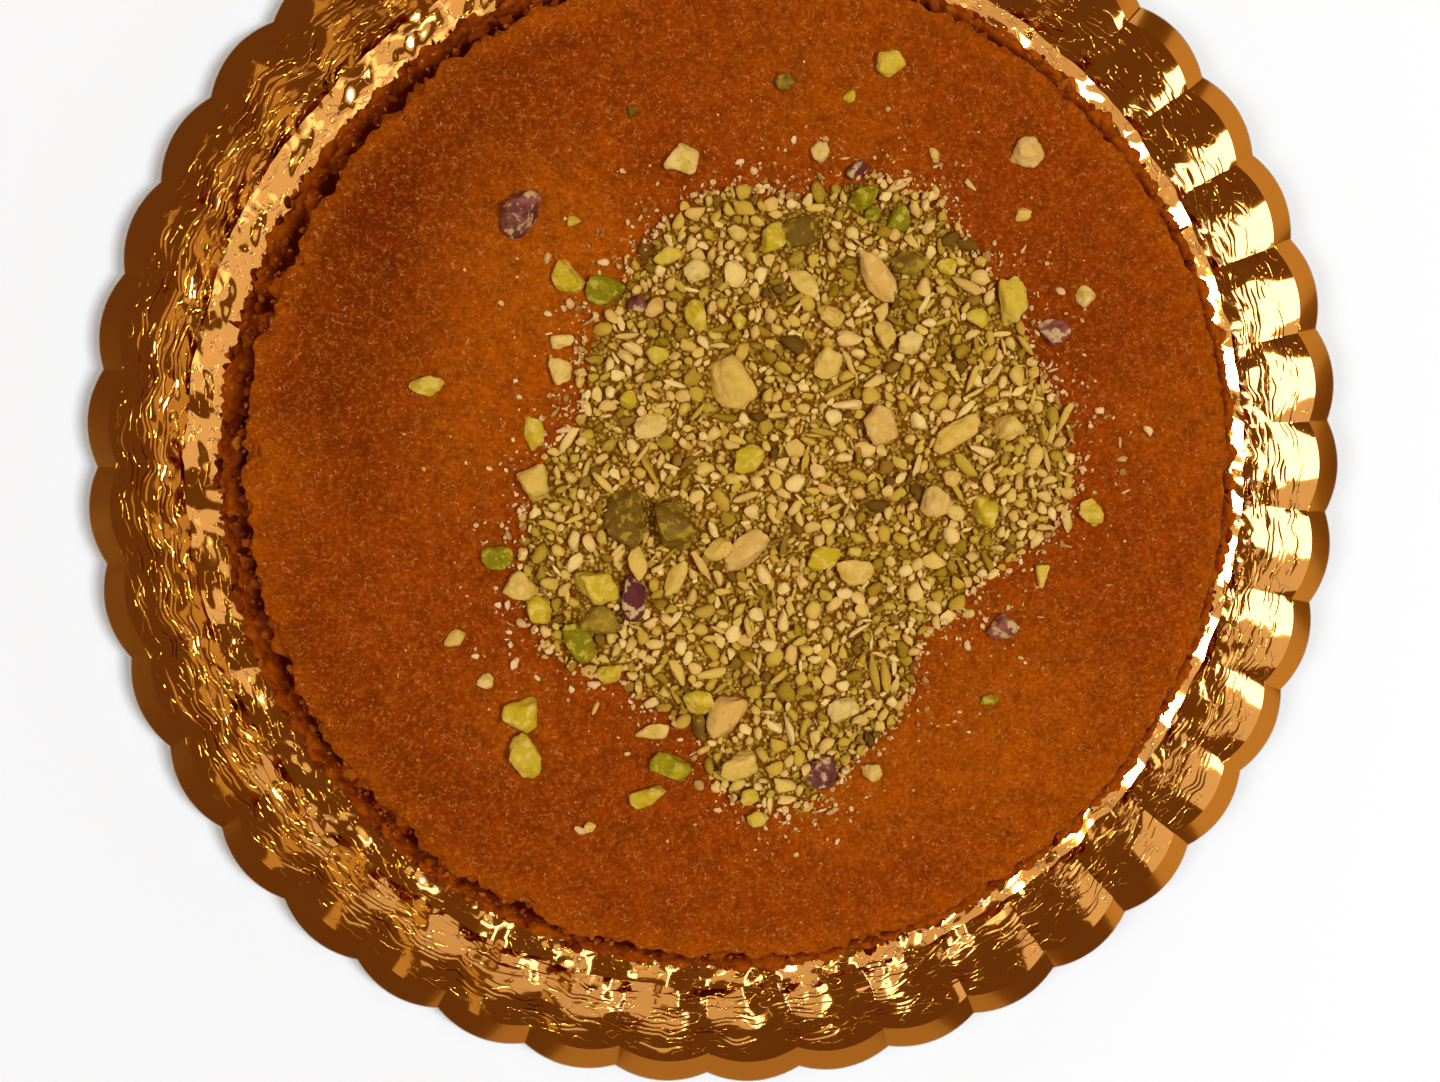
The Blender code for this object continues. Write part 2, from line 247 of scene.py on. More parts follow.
# %% Add the patterns
class Finish(Paint):
    """A material with the patterns that this object's finishes are made of."""

    def mix(self, share, first, second):
        """A colour between two others."""
        sockets = {"Factor_Float": share, "A_Color": first, "B_Color": second}
        return self.node("Mix", {"data_type": "RGBA"}, sockets, "Result_Color")

    def dim(self, colour, amount):
        """A colour made lighter or darker by a wire of values."""
        return self.node("VectorMath", {"operation": "SCALE"}, {"Vector": colour, "Scale": amount}, "Vector")

    def moved(self, place, offset):
        """The surface's place, or another one, shifted so that two patterns don't agree."""
        return self.node("VectorMath", {"operation": "ADD"}, {0: place or self.place, 1: offset}, "Vector")

    def cloud(self, size, detail=2.0, roughness=0.5, offset=(0, 0, 0), place=None):
        """Soft noise from 0 to 1, whose lumps are about size wide."""
        sockets = {"Scale": 1 / size, "Detail": detail, "Roughness": roughness}
        return self.node("TexNoise", None, {"Vector": self.moved(place, offset), **sockets})

    def cells(self, size, take="Distance"):
        """Cells about size wide: the distance to their middles, or their colours."""
        return self.node("TexVoronoi", None, {"Vector": self.place, "Scale": 1 / size}, take)

    def luck(self, size, channel):
        """A random number for each cell, from 0 to 1: each channel has its own."""
        return self.node("SeparateColor", None, {0: self.cells(size, "Color")}, channel)

    def spots(self, size, rim, middle, channel, luck_low, luck_high):
        """Round spots, 0 at the rim and 1 in the middle, in those cells that luck picks."""
        picked = self.step(self.luck(size, channel), luck_low, luck_high)
        return self.step(self.cells(size), rim, middle) * picked

    def step(self, value, low, high):
        """0 below low and 1 above high, or the other way round where low is the larger."""
        sockets = {"Value": value, "From Min": low, "From Max": high}
        return self.node("MapRange", {"interpolation_type": "SMOOTHSTEP"}, sockets, "Result")

    def bump(self, height, distance, strength=1.0, under=None):
        """A Bump node on a height from 0 to 1, whose full rise is distance."""
        sockets = {"Height": height, "Distance": distance, "Strength": strength}
        if under:
            sockets["Normal"] = under
        return self.node("Bump", None, sockets, "Normal")

    def axis(self, name):
        """The surface's X, Y or Z."""
        return self.node("SeparateXYZ", None, {0: self.place}, name)

    def length(self, vector):
        """How long a vector is."""
        return self.node("VectorMath", {"operation": "LENGTH"}, {0: vector}, "Value")

    def vein(self, cloud, wide, sharp):
        """Thin lines where a cloud passes its middle value: 1 within sharp of it, 0 beyond wide."""
        return self.step(self.node("Math", {"operation": "ABSOLUTE"}, {0: cloud - 0.5}), wide, sharp)


def tint(red, green, blue):
    """A colour named as on a screen, from 0 to 255, turned into amounts of light."""
    return tuple((part / 255) ** 2.2 for part in (red, green, blue))


print("a tint of white and one of middle grey:", tint(255, 255, 255), tint(128, 128, 128))

# %% [markdown]
# ## From points to a piece
#
# Most pieces here are grids: rings of points, each joined to the next. NumPy makes the points
# of a whole grid at once, and one helper turns points and faces into an object. Every piece
# rides on the only body, takes its finish's slot and may stand for a solid.

# %% Make pieces from points and faces
ROOT = "root"


def make_piece(name, points, faces, finish, smooth, stands_for=None):
    """A mesh object with one finish, smooth up to an angle, placed in the solids' frame."""
    mesh = bpy.data.meshes.new(name)
    mesh.from_pydata([tuple(point) for point in points], [], faces)
    mesh.materials.append(finish.material)
    mesh.shade_smooth()
    mesh.set_sharp_from_angle(angle=math.radians(smooth))
    made = bpy.data.objects.new(name, mesh)
    bpy.context.scene.collection.objects.link(made)
    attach(made, ROOT)
    if stands_for:
        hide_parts(stands_for)
    print(name, "has", sum(len(face) - 2 for face in faces), "triangles")


def closed_faces(rings, steps):
    """Quads between stacked rings that close on themselves, with both end rings capped."""
    ring, step = np.meshgrid(np.arange(rings - 1), np.arange(steps), indexing="ij")
    after = (step + 1) % steps
    near, far = ring * steps, (ring + 1) * steps
    faces = np.stack((near + step, near + after, far + after, far + step), axis=-1).reshape(-1, 4).tolist()
    faces.append(list(range(steps))[::-1])
    faces.append(list(range((rings - 1) * steps, rings * steps)))
    return faces


def noise_at(points, seed):
    """Soft noise from -1 to 1 at each row of points, whose lumps are about 1 wide."""
    shift = Vector((17.3 * seed, -9.1 * seed, 5.7 * seed))
    values = [noise.noise(Vector(point) + shift) for point in points.reshape(-1, 3)]
    return np.array(values).reshape(points.shape[:-1])


print("two rings of four points, with their caps, have", len(closed_faces(2, 4)), "faces")

# %% [markdown]
# ## The tray
#
# The tray is thin board with gold foil on top, pressed into 41 flutes. Its rings shrink at
# every crease, so the wall is a row of scoops and the rim is scalloped. A smooth gold ring looks
# like plastic. Real tray foil is embossed: thin raised wrinkles run round the wall, wander, draw
# together and break off, and between them the foil is smooth and mirrors the room. A fine plain
# grid would need millions of faces for such thin lines. So the grid's own rows follow the
# wrinkles: six rows to each and one between them. A wrinkle is a few hundredths of a millimetre
# high, steep on the side that faces the cake and gentle on the other. The steep side mirrors the
# room low over the table, and so it draws a thin line. The outer rows of the six lie flat and
# close by, so that the bend stays in the line and doesn't spread into the foil beside it.

# %% Divide the tray's round
FLUTE_STEPS = 24
TRAY_STEPS = FLUTES * FLUTE_STEPS
ROUND = 137 * MM  # the radius at which lengths round the tray are measured
BY_CREASE = 0.965  # an extra step close to each side of a crease keeps it sharp
FOOT_WANDER = 0.8 * MM

one_flute = np.concatenate(((-1.0, -BY_CREASE), np.linspace(-0.9, 0.9, FLUTE_STEPS - 3), (BY_CREASE,)))
across_flute = np.tile(one_flute, FLUTES)
flute_number = np.repeat(np.arange(FLUTES), FLUTE_STEPS)
tray_angle = FIRST_CREASE + math.tau / FLUTES * (flute_number + (across_flute + 1) / 2)


def ring_noise(wide, seed):
    """Soft noise round the tray, whose waves are about wide long."""
    spots = np.stack((np.cos(tray_angle), np.sin(tray_angle), 0 * tray_angle), axis=-1)
    return noise_at(spots * ROUND / wide, seed)


def ramp(values, start, end):
    """0 at start and 1 at end, smoothly."""
    share = np.clip((values - start) / (end - start), 0, 1)
    return share * share * (3 - 2 * share)


def band(levels, start, full, fading, end):
    """1 between two radii in millimetres, full and fading, and 0 before start and beyond end."""
    return ramp(levels, start * MM, full * MM) * ramp(levels, end * MM, fading * MM)


def tray_rings(levels, lift):
    """Rings of the tray at some radii: full radius in mid-flute, less at the creases."""
    levels = np.array([np.broadcast_to(level, TRAY_STEPS) for level in levels])
    rise = np.interp(levels, PROFILE_RADIUS, PROFILE_RISE)
    reach = levels - np.interp(levels, PROFILE_RADIUS, PROFILE_SCALLOP) * across_flute**2
    reach += FOOT_WANDER * foot_wander * band(levels, 122, 128, 129, 137)
    return np.stack((reach * np.cos(tray_angle), reach * np.sin(tray_angle), rise + lift), axis=-1)


foot_wander = ring_noise(9 * MM, 3) + 0.5 * ring_noise(3 * MM, 4)
print(TRAY_STEPS, "steps round the tray")

# %% Lay out the wrinkles
WRINKLES = 9
FIRST_WRINKLE, LAST_WRINKLE = 130.6 * MM, 141.0 * MM
WRINKLE_GAP = 0.9 * MM
# how far each swings to and fro, how long its waves are, both in millimetres, and a seed
WRINKLE_SWINGS = ((2.1, 10, 20), (0.9, 4, 40))
# places across a wrinkle, in millimetres from its line, and the height there
WRINKLE_SHAPE = {-0.34: 0.0, -0.28: 0.0, -0.03: 1.0, 0.04: 1.0, 0.40: 0.1, 0.46: 0.0}
LOW_WRINKLE, HIGH_WRINKLE = 0.030 * MM, 0.050 * MM
# the larger the share, the more of its round a wrinkle is there
FOOT_SHARE, WALL_SHARE, BREAK_SHARPNESS = 0.10, 0.26, 5
INNER_ROWS = np.concatenate((np.arange(119.0, 128.6, 0.7), (128.8,))) * MM
LIP_ROWS = np.array((143.7, 144.3, 144.8, 145.3, 146.5, 148.5, 149.6)) * MM


def wrinkle_lines():
    """The radius of each wrinkle at each step, the innermost first."""
    lines = []
    for count, start in enumerate(np.linspace(FIRST_WRINKLE, LAST_WRINKLE, WRINKLES)):
        line = start
        for swing, wave, seed in WRINKLE_SWINGS:
            line = line + swing * MM * ring_noise(wave * MM, seed + count)
        lowest = lines[-1] + WRINKLE_GAP if lines else INNER_ROWS[-1] + WRINKLE_GAP
        highest = LIP_ROWS[0] - WRINKLE_GAP * (WRINKLES - count)
        lines.append(np.clip(line, lowest, highest))
    return lines


wrinkles = wrinkle_lines()
print(len(wrinkles), "wrinkles, the innermost", round(wrinkles[0].min() / MM, 1), "mm from the middle")


# %% Lay out the foil's rows
def foil_rows():
    """The foil's rows as radii, and how far the wrinkles lift each."""
    rows = [np.full(TRAY_STEPS, radius) for radius in INNER_ROWS]
    lifts = [np.zeros(TRAY_STEPS) for _ in INNER_ROWS]
    for count, line in enumerate(wrinkles):
        share = WALL_SHARE if count else FOOT_SHARE
        wrinkle_height = LOW_WRINKLE + (HIGH_WRINKLE - LOW_WRINKLE) * count / (WRINKLES - 1)
        present = np.clip(BREAK_SHARPNESS * (ring_noise(8 * MM, 60 + count) + share), 0, 1)
        rows.append((rows[-1] + line + min(WRINKLE_SHAPE) * MM) / 2)
        lifts.append(np.zeros(TRAY_STEPS))
        for aside, height in WRINKLE_SHAPE.items():
            rows.append(line + aside * MM)
            lifts.append(wrinkle_height * height * present)
    rows.extend(np.full(TRAY_STEPS, radius) for radius in LIP_ROWS)
    lifts.extend(np.zeros(TRAY_STEPS) for _ in LIP_ROWS)
    return np.array(rows), np.array(lifts)


foil_levels, wrinkle_lift = foil_rows()
narrowest = np.diff(foil_levels, axis=0).min()
print("foil grid:", foil_levels.shape, "narrowest row in mm:", round(narrowest / MM, 3))

# %% [markdown]
# The foil is not quite even between the wrinkles either. Its flutes begin already in the flat
# base, as shallow waves, the foot of the wall wanders a little, and the whole wall is made of
# faint facets. All of it is only tenths of a millimetre, yet a mirror shows it: each tilt sends
# the eye to another part of the room.

# %% Find the foil's normals and its facets
def normals_of(grid):
    """Unit normals of a grid of rings, pointing up."""
    out = np.gradient(grid, axis=0)
    around = np.roll(grid, -1, axis=1) - np.roll(grid, 1, axis=1)
    normal = np.cross(out, around)
    return normal / np.linalg.norm(normal, axis=-1, keepdims=True)


def facet_height(along, up, size):
    """Heights of flat three-cornered facets, from -1 to 1, a little wider than they are tall."""
    cells = round(math.tau * ROUND / size)
    heights = np.random.default_rng(5).uniform(-1, 1, (cells, 60))
    column = along / (math.tau * ROUND) * cells
    row = up / (0.75 * size) + 10  # ten rows to spare, for places that slip down
    left, below = np.floor(column).astype(int), np.floor(row).astype(int)
    a, b = column - left, row - below
    low = heights[left % cells, below]
    right = heights[(left + 1) % cells, below]
    above = heights[left % cells, below + 1]
    far = heights[(left + 1) % cells, below + 1]
    near_half = low + a * (right - low) + b * (above - low)
    far_half = far + (1 - a) * (above - far) + (1 - b) * (right - far)
    return np.where(a + b < 1, near_half, far_half)


facet_sample = facet_height(tray_angle * ROUND, 0 * tray_angle, 4 * MM)
print("facets go from", round(facet_sample.min(), 2), "to", round(facet_sample.max(), 2))

# %% Dent the foil
FACET_SIZE, FACET_HEIGHT = 4.4 * MM, 0.06 * MM
CRUMPLE_SIZE, CRUMPLE_HEIGHT = 2.3 * MM, 0.09 * MM
CRUMPLES_UP_THE_WALL = 0.25  # how much of the crumples is left where the wall is steep
BASE_WAVE = 0.5 * MM


def dented_foil(levels, lifts):
    """The foil's grid, with its waves, its facets and crumples, and its wrinkles."""
    grid = tray_rings(levels, BOARD)
    wave = band(levels, 122.5, 126.5, 131, 137)
    grid[..., 2] += BASE_WAVE * wave * (1 - np.cos(math.pi * across_flute)) / 2
    up = levels - levels[0]
    ring = np.stack((np.cos(tray_angle), np.sin(tray_angle)), axis=-1) * ROUND
    spots = np.concatenate((np.broadcast_to(ring, (*levels.shape, 2)), up[..., None]), axis=-1)
    slip = 2.4 * MM * noise_at(spots / (9 * MM), 1)
    climb = 1.6 * MM * noise_at(spots / (7 * MM), 2)
    along = tray_angle * ROUND + slip
    facets = FACET_HEIGHT * facet_height(along, up + climb, FACET_SIZE)
    crumples = CRUMPLE_HEIGHT * facet_height(along, up + climb, CRUMPLE_SIZE)
    low_down = ramp(levels, 138 * MM, 131 * MM)
    crumples = crumples * (CRUMPLES_UP_THE_WALL + (1 - CRUMPLES_UP_THE_WALL) * low_down)
    rough = band(levels, 120, 123, 141.8, 143.4)
    return grid + normals_of(grid) * (rough * (facets + crumples) + lifts)[..., None]


foil = dented_foil(foil_levels, wrinkle_lift)
print("foil dented by up to", round((FACET_HEIGHT + CRUMPLE_HEIGHT + HIGH_WRINKLE) / MM, 2), "mm")

# %% [markdown]
# ### Gold foil
#
# The foil is bright metal under a clear gold lacquer, so its finish has two layers. The metal
# layer is deep orange gold, and what it mirrors takes that colour. The clear coat mirrors a little
# white, which turns the strongest flashes pale. Nearly all that one sees in foil is the room, so
# the roughness is low, and the light does the rest. A faint bump adds creases too fine for the
# mesh. They follow the line where a soft noise passes its middle value, drawn out round the tray.
# On the flat base the creases are also painted a darker gold, as painted shade.

# %% Mix the gold foil
BRIGHT_GOLD, DEEP_GOLD, CREASE_SHADE_GOLD = (0.97, 0.43, 0.055), (0.91, 0.37, 0.035), (0.42, 0.13, 0.01)
DRAWN_OUT = (0.35, 1.0, 1.0)  # the noise's own scale round the tray and across it


def make_foil_finish():
    """Orange gold metal under a clear coat, with fine creases, painted darker on the flat base as shade."""
    finish = Finish("gold_foil")
    angle = finish.node("Math", {"operation": "ARCTAN2"}, {0: finish.axis("Y"), 1: finish.axis("X")})
    reach = finish.length(finish.place)
    unrolled = finish.node("CombineXYZ", None, {"X": angle * ROUND, "Y": reach})
    rough_part = finish.step(reach, 144 * MM, 142 * MM)
    base_part = finish.step(reach, 133 * MM, 130 * MM)
    drawn = finish.node("VectorMath", {"operation": "MULTIPLY"}, {0: unrolled, 1: DRAWN_OUT}, "Vector")
    crease = finish.vein(finish.cloud(2.2 * MM, detail=1.0, place=drawn), 0.020, 0.004)
    here_and_there = finish.step(finish.cloud(5 * MM, offset=(0.4, 0.1, 0.2)), 0.42, 0.52)
    crease = crease * here_and_there * rough_part
    relief = finish.bump(crease * (1 + base_part), 0.04 * MM, 0.8)
    dull = finish.cloud(14 * MM, detail=3.0)
    colour = finish.mix(dull, BRIGHT_GOLD, DEEP_GOLD)
    # painted shade: on the flat base the creases are painted a darker gold
    colour = finish.mix(0.5 * crease * base_part, colour, CREASE_SHADE_GOLD)
    finish.shade(base_color=colour, metallic=1.0, roughness=0.04 + 0.06 * dull, normal=relief)
    finish.shade(coat_weight=1.0, coat_ior=1.95, coat_roughness=0.03)
    return finish


foil_finish = make_foil_finish()
print("the gold foil takes", len(foil_finish.tree.nodes), "nodes")

# %% Make the foil sheet
FOIL_BACK = 0.55 * MM
BACK_ROWS = np.array((119, 126, 129, 132, 138, 144, 144.8, 149.65)) * MM
TURNED_EDGE, TURNED_DOWN = 149.7 * MM, 0.22 * MM

turned_edge = tray_rings([TURNED_EDGE], BOARD - TURNED_DOWN)
foil_shell = np.concatenate((tray_rings(BACK_ROWS, FOIL_BACK), turned_edge, foil[::-1]))
foil_faces = closed_faces(len(foil_shell), TRAY_STEPS)
inner_rim = (len(foil_shell) - 1) * TRAY_STEPS
# the sheet is a ring, open in its middle, so its caps go and its two inner rims are joined
del foil_faces[-2:]
for here in range(TRAY_STEPS):
    after = (here + 1) % TRAY_STEPS
    foil_faces.append((inner_rim + here, inner_rim + after, after, here))
make_piece("foil", foil_shell.reshape(-1, 3), foil_faces, foil_finish, 20, "gold_tray")

# %% [markdown]
# ### The board
#
# Under the foil is grey board. It shows only as a thin pale line round the scallops, where the
# tray was punched out, and from below. It is paper, so its finish is dull, with faint fibres.

# %% Make the board
def make_board_finish():
    """Dull grey paper with faint fibres."""
    finish = Finish("tray_board")
    fibres = finish.cloud(0.9 * MM, detail=4.0, roughness=0.7)
    wide = finish.cloud(25 * MM, detail=2.0)
    colour = finish.mix(fibres, tint(150, 144, 134), tint(196, 190, 180))
    colour = finish.dim(colour, 0.92 + 0.16 * wide)
    finish.shade(base_color=colour, roughness=0.8 + 0.1 * fibres, normal=finish.bump(fibres, 0.05 * MM, 0.4))
    finish.shade(specular_ior_level=0.2)
    return finish


BOARD_TOP = 0.52 * MM
BOARD_ROWS = np.concatenate(((40 * MM, 80 * MM, 110 * MM), BACK_ROWS[:-1], (150 * MM,)))
board = np.concatenate((tray_rings(BOARD_ROWS, 0.0), tray_rings(BOARD_ROWS[::-1], BOARD_TOP)))
board_faces = closed_faces(len(board), TRAY_STEPS)
make_piece("board", board.reshape(-1, 3), board_faces, make_board_finish(), 40)

# %% [markdown]
# ## The cake
#
# The cake was baked in a flared pan and turned over, so its side leans out towards the foot. Its
# top is the crust that lay on the hot metal: flat, fine-grained and unevenly browned. The side is
# torn and crumbly, and under the crisp edge of the crust runs a dark, broken gap. The mesh is one
# grid that climbs the side in fine rings and crosses the top to the middle. Lumps with sharp
# furrows between them come from soft noise folded at nought, which is how torn pastry breaks.

# %% Climb the cake's side
CAKE_STEPS = 840
SIDE_RINGS = 36
GAP_HEIGHT, GAP_SPREAD, GAP_DEPTH = 13.8 * MM, 4.6 * MM, 3.0 * MM
LUMPS = {6.5: 2.9, 3.1: 2.7, 1.3: 0.9}  # the lumps' widths and heights in millimetres
RIM_BELOW_TOP = 0.6 * MM
FOOT_ROUND = 1.5 * MM

cake_angle = math.tau * np.arange(CAKE_STEPS) / CAKE_STEPS
cake_way = np.stack((np.cos(cake_angle), np.sin(cake_angle), 0 * cake_angle), axis=-1)


def folded(spots, seed):
    """Lumps from -1 to 1 that meet in sharp furrows."""
    return 2.6 * np.abs(noise_at(spots, seed)) - 0.6


def side_rings():
    """The cake's side from the foot up, with the solid's crags, torn lumps and the gap."""
    level = np.linspace(0.0, 1.0, SIDE_RINGS)[:, None]
    height = level * (CAKE_HEIGHT - RIM_BELOW_TOP)
    spots = cake_way[None] * CAKE_FOOT + height[..., None] * np.array((0, 0, 1))
    reach = CAKE_FOOT + (CAKE_TOP - CAKE_FOOT) * height / CAKE_HEIGHT
    reach = reach - FOOT_ROUND * np.clip(1 - height / FOOT_ROUND, 0, 1) ** 2
    share = 1.0 - 0.55 * level
    crags = CRAG_DEPTH * noise_at(spots / CRAG_SIZE, 0)
    lumps = sum(rise / 2.6 * MM * folded(spots / (size * MM), 1 + size) for size, rise in LUMPS.items())
    broken = np.clip(0.75 + 1.5 * noise_at(cake_way * CAKE_FOOT / (6 * MM), 3), 0.15, 1.25)
    gap = GAP_DEPTH * np.exp(-(((height - GAP_HEIGHT) / GAP_SPREAD) ** 4)) * broken
    reach = reach + crags * share + lumps * (0.5 + 0.5 * ramp(height, 0, 3 * MM)) - gap
    height = np.broadcast_to(height, reach.shape)
    return np.stack((reach * cake_way[:, 0], reach * cake_way[:, 1], height), axis=-1)


cake_side = side_rings()
print("side rings:", len(cake_side))

# %% Break the rim and cross the top
# the rim's rings: how far out and how far down, in millimetres, and their share of its raggedness
EDGE_DROPS = ((0.45, 0.8, 1.0), (0.35, 0.3, 1.0), (-0.3, 0.05, 1.0), (-1.2, 0.0, 0.7))
TOP_RADII = np.concatenate((np.arange(112.0, 44.0, -1.2), np.arange(44.0, 2.0, -6.0))) * MM


def edge_rings():
    """The crust's rim, ragged where crumbs have broken off."""
    ragged = 1.5 * MM * noise_at(cake_way * CAKE_TOP / (7 * MM), 4)
    ragged = ragged + 1.3 * MM * noise_at(cake_way * CAKE_TOP / (2.4 * MM), 5)
    ragged = ragged * (1.0 - 0.5 * cake_way[:, 0])
    rings = []
    for out, drop, share in EDGE_DROPS:
        reach = CAKE_TOP + out * MM + share * ragged
        tall = np.full(CAKE_STEPS, CAKE_HEIGHT - drop * MM)
        rings.append(np.stack((reach * cake_way[:, 0], reach * cake_way[:, 1], tall), axis=-1))
    return np.array(rings)


def top_rings():
    """The flat top, with wider steps near its middle, where the nuts hide it."""
    flat = cake_way[None] * TOP_RADII[:, None, None]
    return flat + np.array((0, 0, CAKE_HEIGHT))


def swell(rings):
    """The crust's slow waves and its fine unevenness."""
    reach = np.hypot(rings[..., 0], rings[..., 1])
    slow = 0.35 * MM * np.sin(3 * cake_angle + 0.6) * np.cos(2 * cake_angle) * ramp(reach, 98 * MM, 112 * MM)
    fine = 0.14 * MM * noise_at(rings / (7 * MM), 6) + 0.09 * MM * noise_at(rings / (2.2 * MM), 7)
    return (slow + fine) * ramp(rings[..., 2], 18 * MM, 19.5 * MM)


crust = np.concatenate((cake_side, edge_rings(), top_rings()))
crust[..., 2] += swell(crust)
crust += np.array((CAKE_X, CAKE_Y, CAKE_BOTTOM_Z))
print("crust grid:", crust.shape[:2])

# %% [markdown]
# ### Browned semolina
#
# The crust is not one orange. It is darker in some broad clouds and lighter in others, lighter
# along the edge and beside the nuts, and all of it is speckled: each grain of semolina browned
# by itself, and short pale strands of dough show between them. The finish builds that up in the
# same order, from wide clouds to single grains. Small dark spots are painted shade, where pits
# would be. The side takes a redder brown, with painted shade that is darkest where the side
# falls back from the cake's own slope, and pale painted highlights on its lumps. A browned
# crust is dry, so hardly any light may glance off it, or the brown turns grey.

# %% List the darker and lighter patches
# x, y and radius in millimetres, and how strong each is
DARKER_SPOTS = (
    (-84, 62, 44, 0.75),
    (-90, 18, 40, 0.55),
    (-52, 94, 34, 0.50),
    (-104, -42, 26, 0.45),
    (-88, -72, 34, 0.40),
    (-60, -72, 26, 0.25),
    (78, 36, 28, 0.25),
)
LIGHTER_SPOTS = (
    (-42, 45, 40, 0.70),
    (-60, 12, 34, 0.40),
    (-103, 2, 18, 0.35),
    (62, -62, 44, 0.50),
    (23, -76, 28, 0.50),
    (24, 84, 34, 0.30),
    (-52, -58, 20, 0.35),
    (106, 8, 26, 0.25),
)
print(len(DARKER_SPOTS), "darker patches and", len(LIGHTER_SPOTS), "lighter ones")


# %% Colour the top and the side
def near_spot(finish, x, y, size):
    """A soft round patch about one place of the crust: 1 in its middle and 0 at its rim."""
    spot = (x * MM, y * MM, CAKE_TOP_Z)
    away = finish.node("VectorMath", {"operation": "DISTANCE"}, {0: finish.place, 1: spot}, "Value")
    return finish.step(away, size * MM, 0.0)


def cake_reach(finish):
    """The distance from the cake's own axis."""
    flat = finish.node("CombineXYZ", None, {"X": finish.axis("X") - CAKE_X, "Y": finish.axis("Y") - CAKE_Y})
    return finish.length(flat)


def top_colour(finish, reach, mottle):
    """Broad clouds, the lighter edge, and grains and flecks on them, with small pits as painted shade."""
    colour = tint(144, 58, 1)
    for spots, deepest in ((DARKER_SPOTS, tint(96, 28, 0)), (LIGHTER_SPOTS, tint(177, 86, 5))):
        share = 0.24 * finish.cloud(26 * MM, detail=4.0, roughness=0.6, offset=(0.1 * len(spots), 0, 0))
        for x, y, size, part in spots:
            share = share + part * near_spot(finish, x, y, size)
        colour = finish.mix(share, colour, deepest)
    edge_wave = finish.cloud(18 * MM, offset=(0.3, 0.1, 0.0)) * (6 * MM)
    edge_band = finish.step(reach + edge_wave, 110 * MM, 117 * MM)
    colour = finish.mix(0.55 * edge_band, colour, tint(163, 76, 5))
    colour = finish.dim(colour, 0.343 + 1.117 * mottle)
    streaks = finish.cloud(1.0 * MM, detail=3.0, roughness=0.6, offset=(0.1, 0.2, 0.0))
    colour = finish.mix(0.40 * finish.step(streaks, 0.50, 0.70), colour, tint(182, 98, 24))
    colour = finish.mix(0.45 * finish.step(streaks, 0.50, 0.32), colour, tint(100, 31, 0))
    here_and_there = finish.step(finish.cloud(1.9 * MM, offset=(0.5, 0.3, 0.0)), 0.47, 0.58)
    strand = finish.vein(finish.cloud(1.4 * MM, detail=1.0), 0.025, 0.0) * here_and_there
    colour = finish.mix(0.75 * strand, colour, tint(208, 124, 60))
    fleck = finish.spots(1.2 * MM, 0.30, 0.10, 1, 0.86, 1.0)
    colour = finish.mix(0.60 * fleck, colour, tint(212, 136, 74))
    # painted shade: dark spots where small pits would hold shade
    pit_shade = finish.spots(2.9 * MM, 0.20, 0.06, 2, 0.66, 0.90)
    return finish.mix(0.55 * pit_shade, colour, tint(84, 22, 0))


def side_colour(finish, reach):
    """Amber lumps, with dark red painted shade in the furrows and a few pale painted highlights."""
    slope = (CAKE_TOP - CAKE_FOOT) / CAKE_HEIGHT
    outline = (CAKE_FOOT - slope * CAKE_BOTTOM_Z) + finish.axis("Z") * slope
    # painted shade: dark red where the side falls back from its own slope, in the gap and the furrows
    recess_shade = finish.step(outline - reach, -0.8 * MM, 1.8 * MM)
    chunk = finish.step(finish.cloud(2.6 * MM, detail=3.0, roughness=0.7), 0.35, 0.65)
    colour = finish.mix(chunk, tint(140, 58, 4), tint(172, 84, 14))
    colour = finish.mix(recess_shade, colour, tint(70, 16, 0))
    # painted highlights: pale glints on the lumps, kept out of the painted shade
    pale = finish.spots(1.7 * MM, 0.24, 0.14, 1, 0.6, 0.8)
    return finish.mix(0.7 * pale * (1 - recess_shade), colour, tint(228, 158, 92))


print("colours for the top and the side ready")


# %% Make the crust
def make_crust_finish():
    """The top's colour and the side's, with one grain over both."""
    finish = Finish("semolina_crust")
    reach = cake_reach(finish)
    mottle = finish.cloud(4.5 * MM, detail=4.0, roughness=0.62)
    side = finish.step(finish.axis("Z"), CAKE_TOP_Z - 0.5 * MM, CAKE_TOP_Z - 1.6 * MM)
    colour = finish.mix(side, top_colour(finish, reach, mottle), side_colour(finish, reach))
    relief = finish.bump(mottle, 0.4 * MM, 0.45)
    relief = finish.bump(1 - finish.cells(0.6 * MM), 0.18 * MM, 0.45, relief)
    finish.shade(base_color=colour, roughness=0.6 + 0.2 * mottle, normal=relief, specular_ior_level=0.02)
    return finish


crust_finish = make_crust_finish()
crust_faces = closed_faces(len(crust), CAKE_STEPS)
make_piece("crust", crust.reshape(-1, 3), crust_faces, crust_finish, 180, "kunafa")

# %% [markdown]
# ## The heap's core
#
# Chopped pistachio is mostly crumbs of one to three millimetres. They are too many to lay one by
# one through the whole heap, so the heap is a bumpy core, painted dark in its gaps as shade, with
# loose crumbs on top. The form is the solid's own, scoops of nuts that run together, and the core
# stays a little below it.

# %% Find the heap's form
EDGE_SEARCH, EDGE_STEP = 100 * MM, 0.25 * MM


def scoop_cover(x, y):
    """How deep places lie in the scoops: nought at the heap's edge."""
    cover = np.full(np.shape(x), -math.exp(-SCOOP_FALL))
    for scoop_x, scoop_y, radius in SCOOPS:
        away = np.hypot(x - scoop_x * MM, y - scoop_y * MM) / (radius * MM)
        cover = cover + np.exp(-SCOOP_FALL * away**2)
    return cover


def heap_height(x, y):
    """The heap's height over its floor, without its crumbs."""
    return HEAP_EDGE + HEAP_HEIGHT * (1.0 - np.exp(-SCOOP_FILL * np.maximum(scoop_cover(x, y), 0.0)))


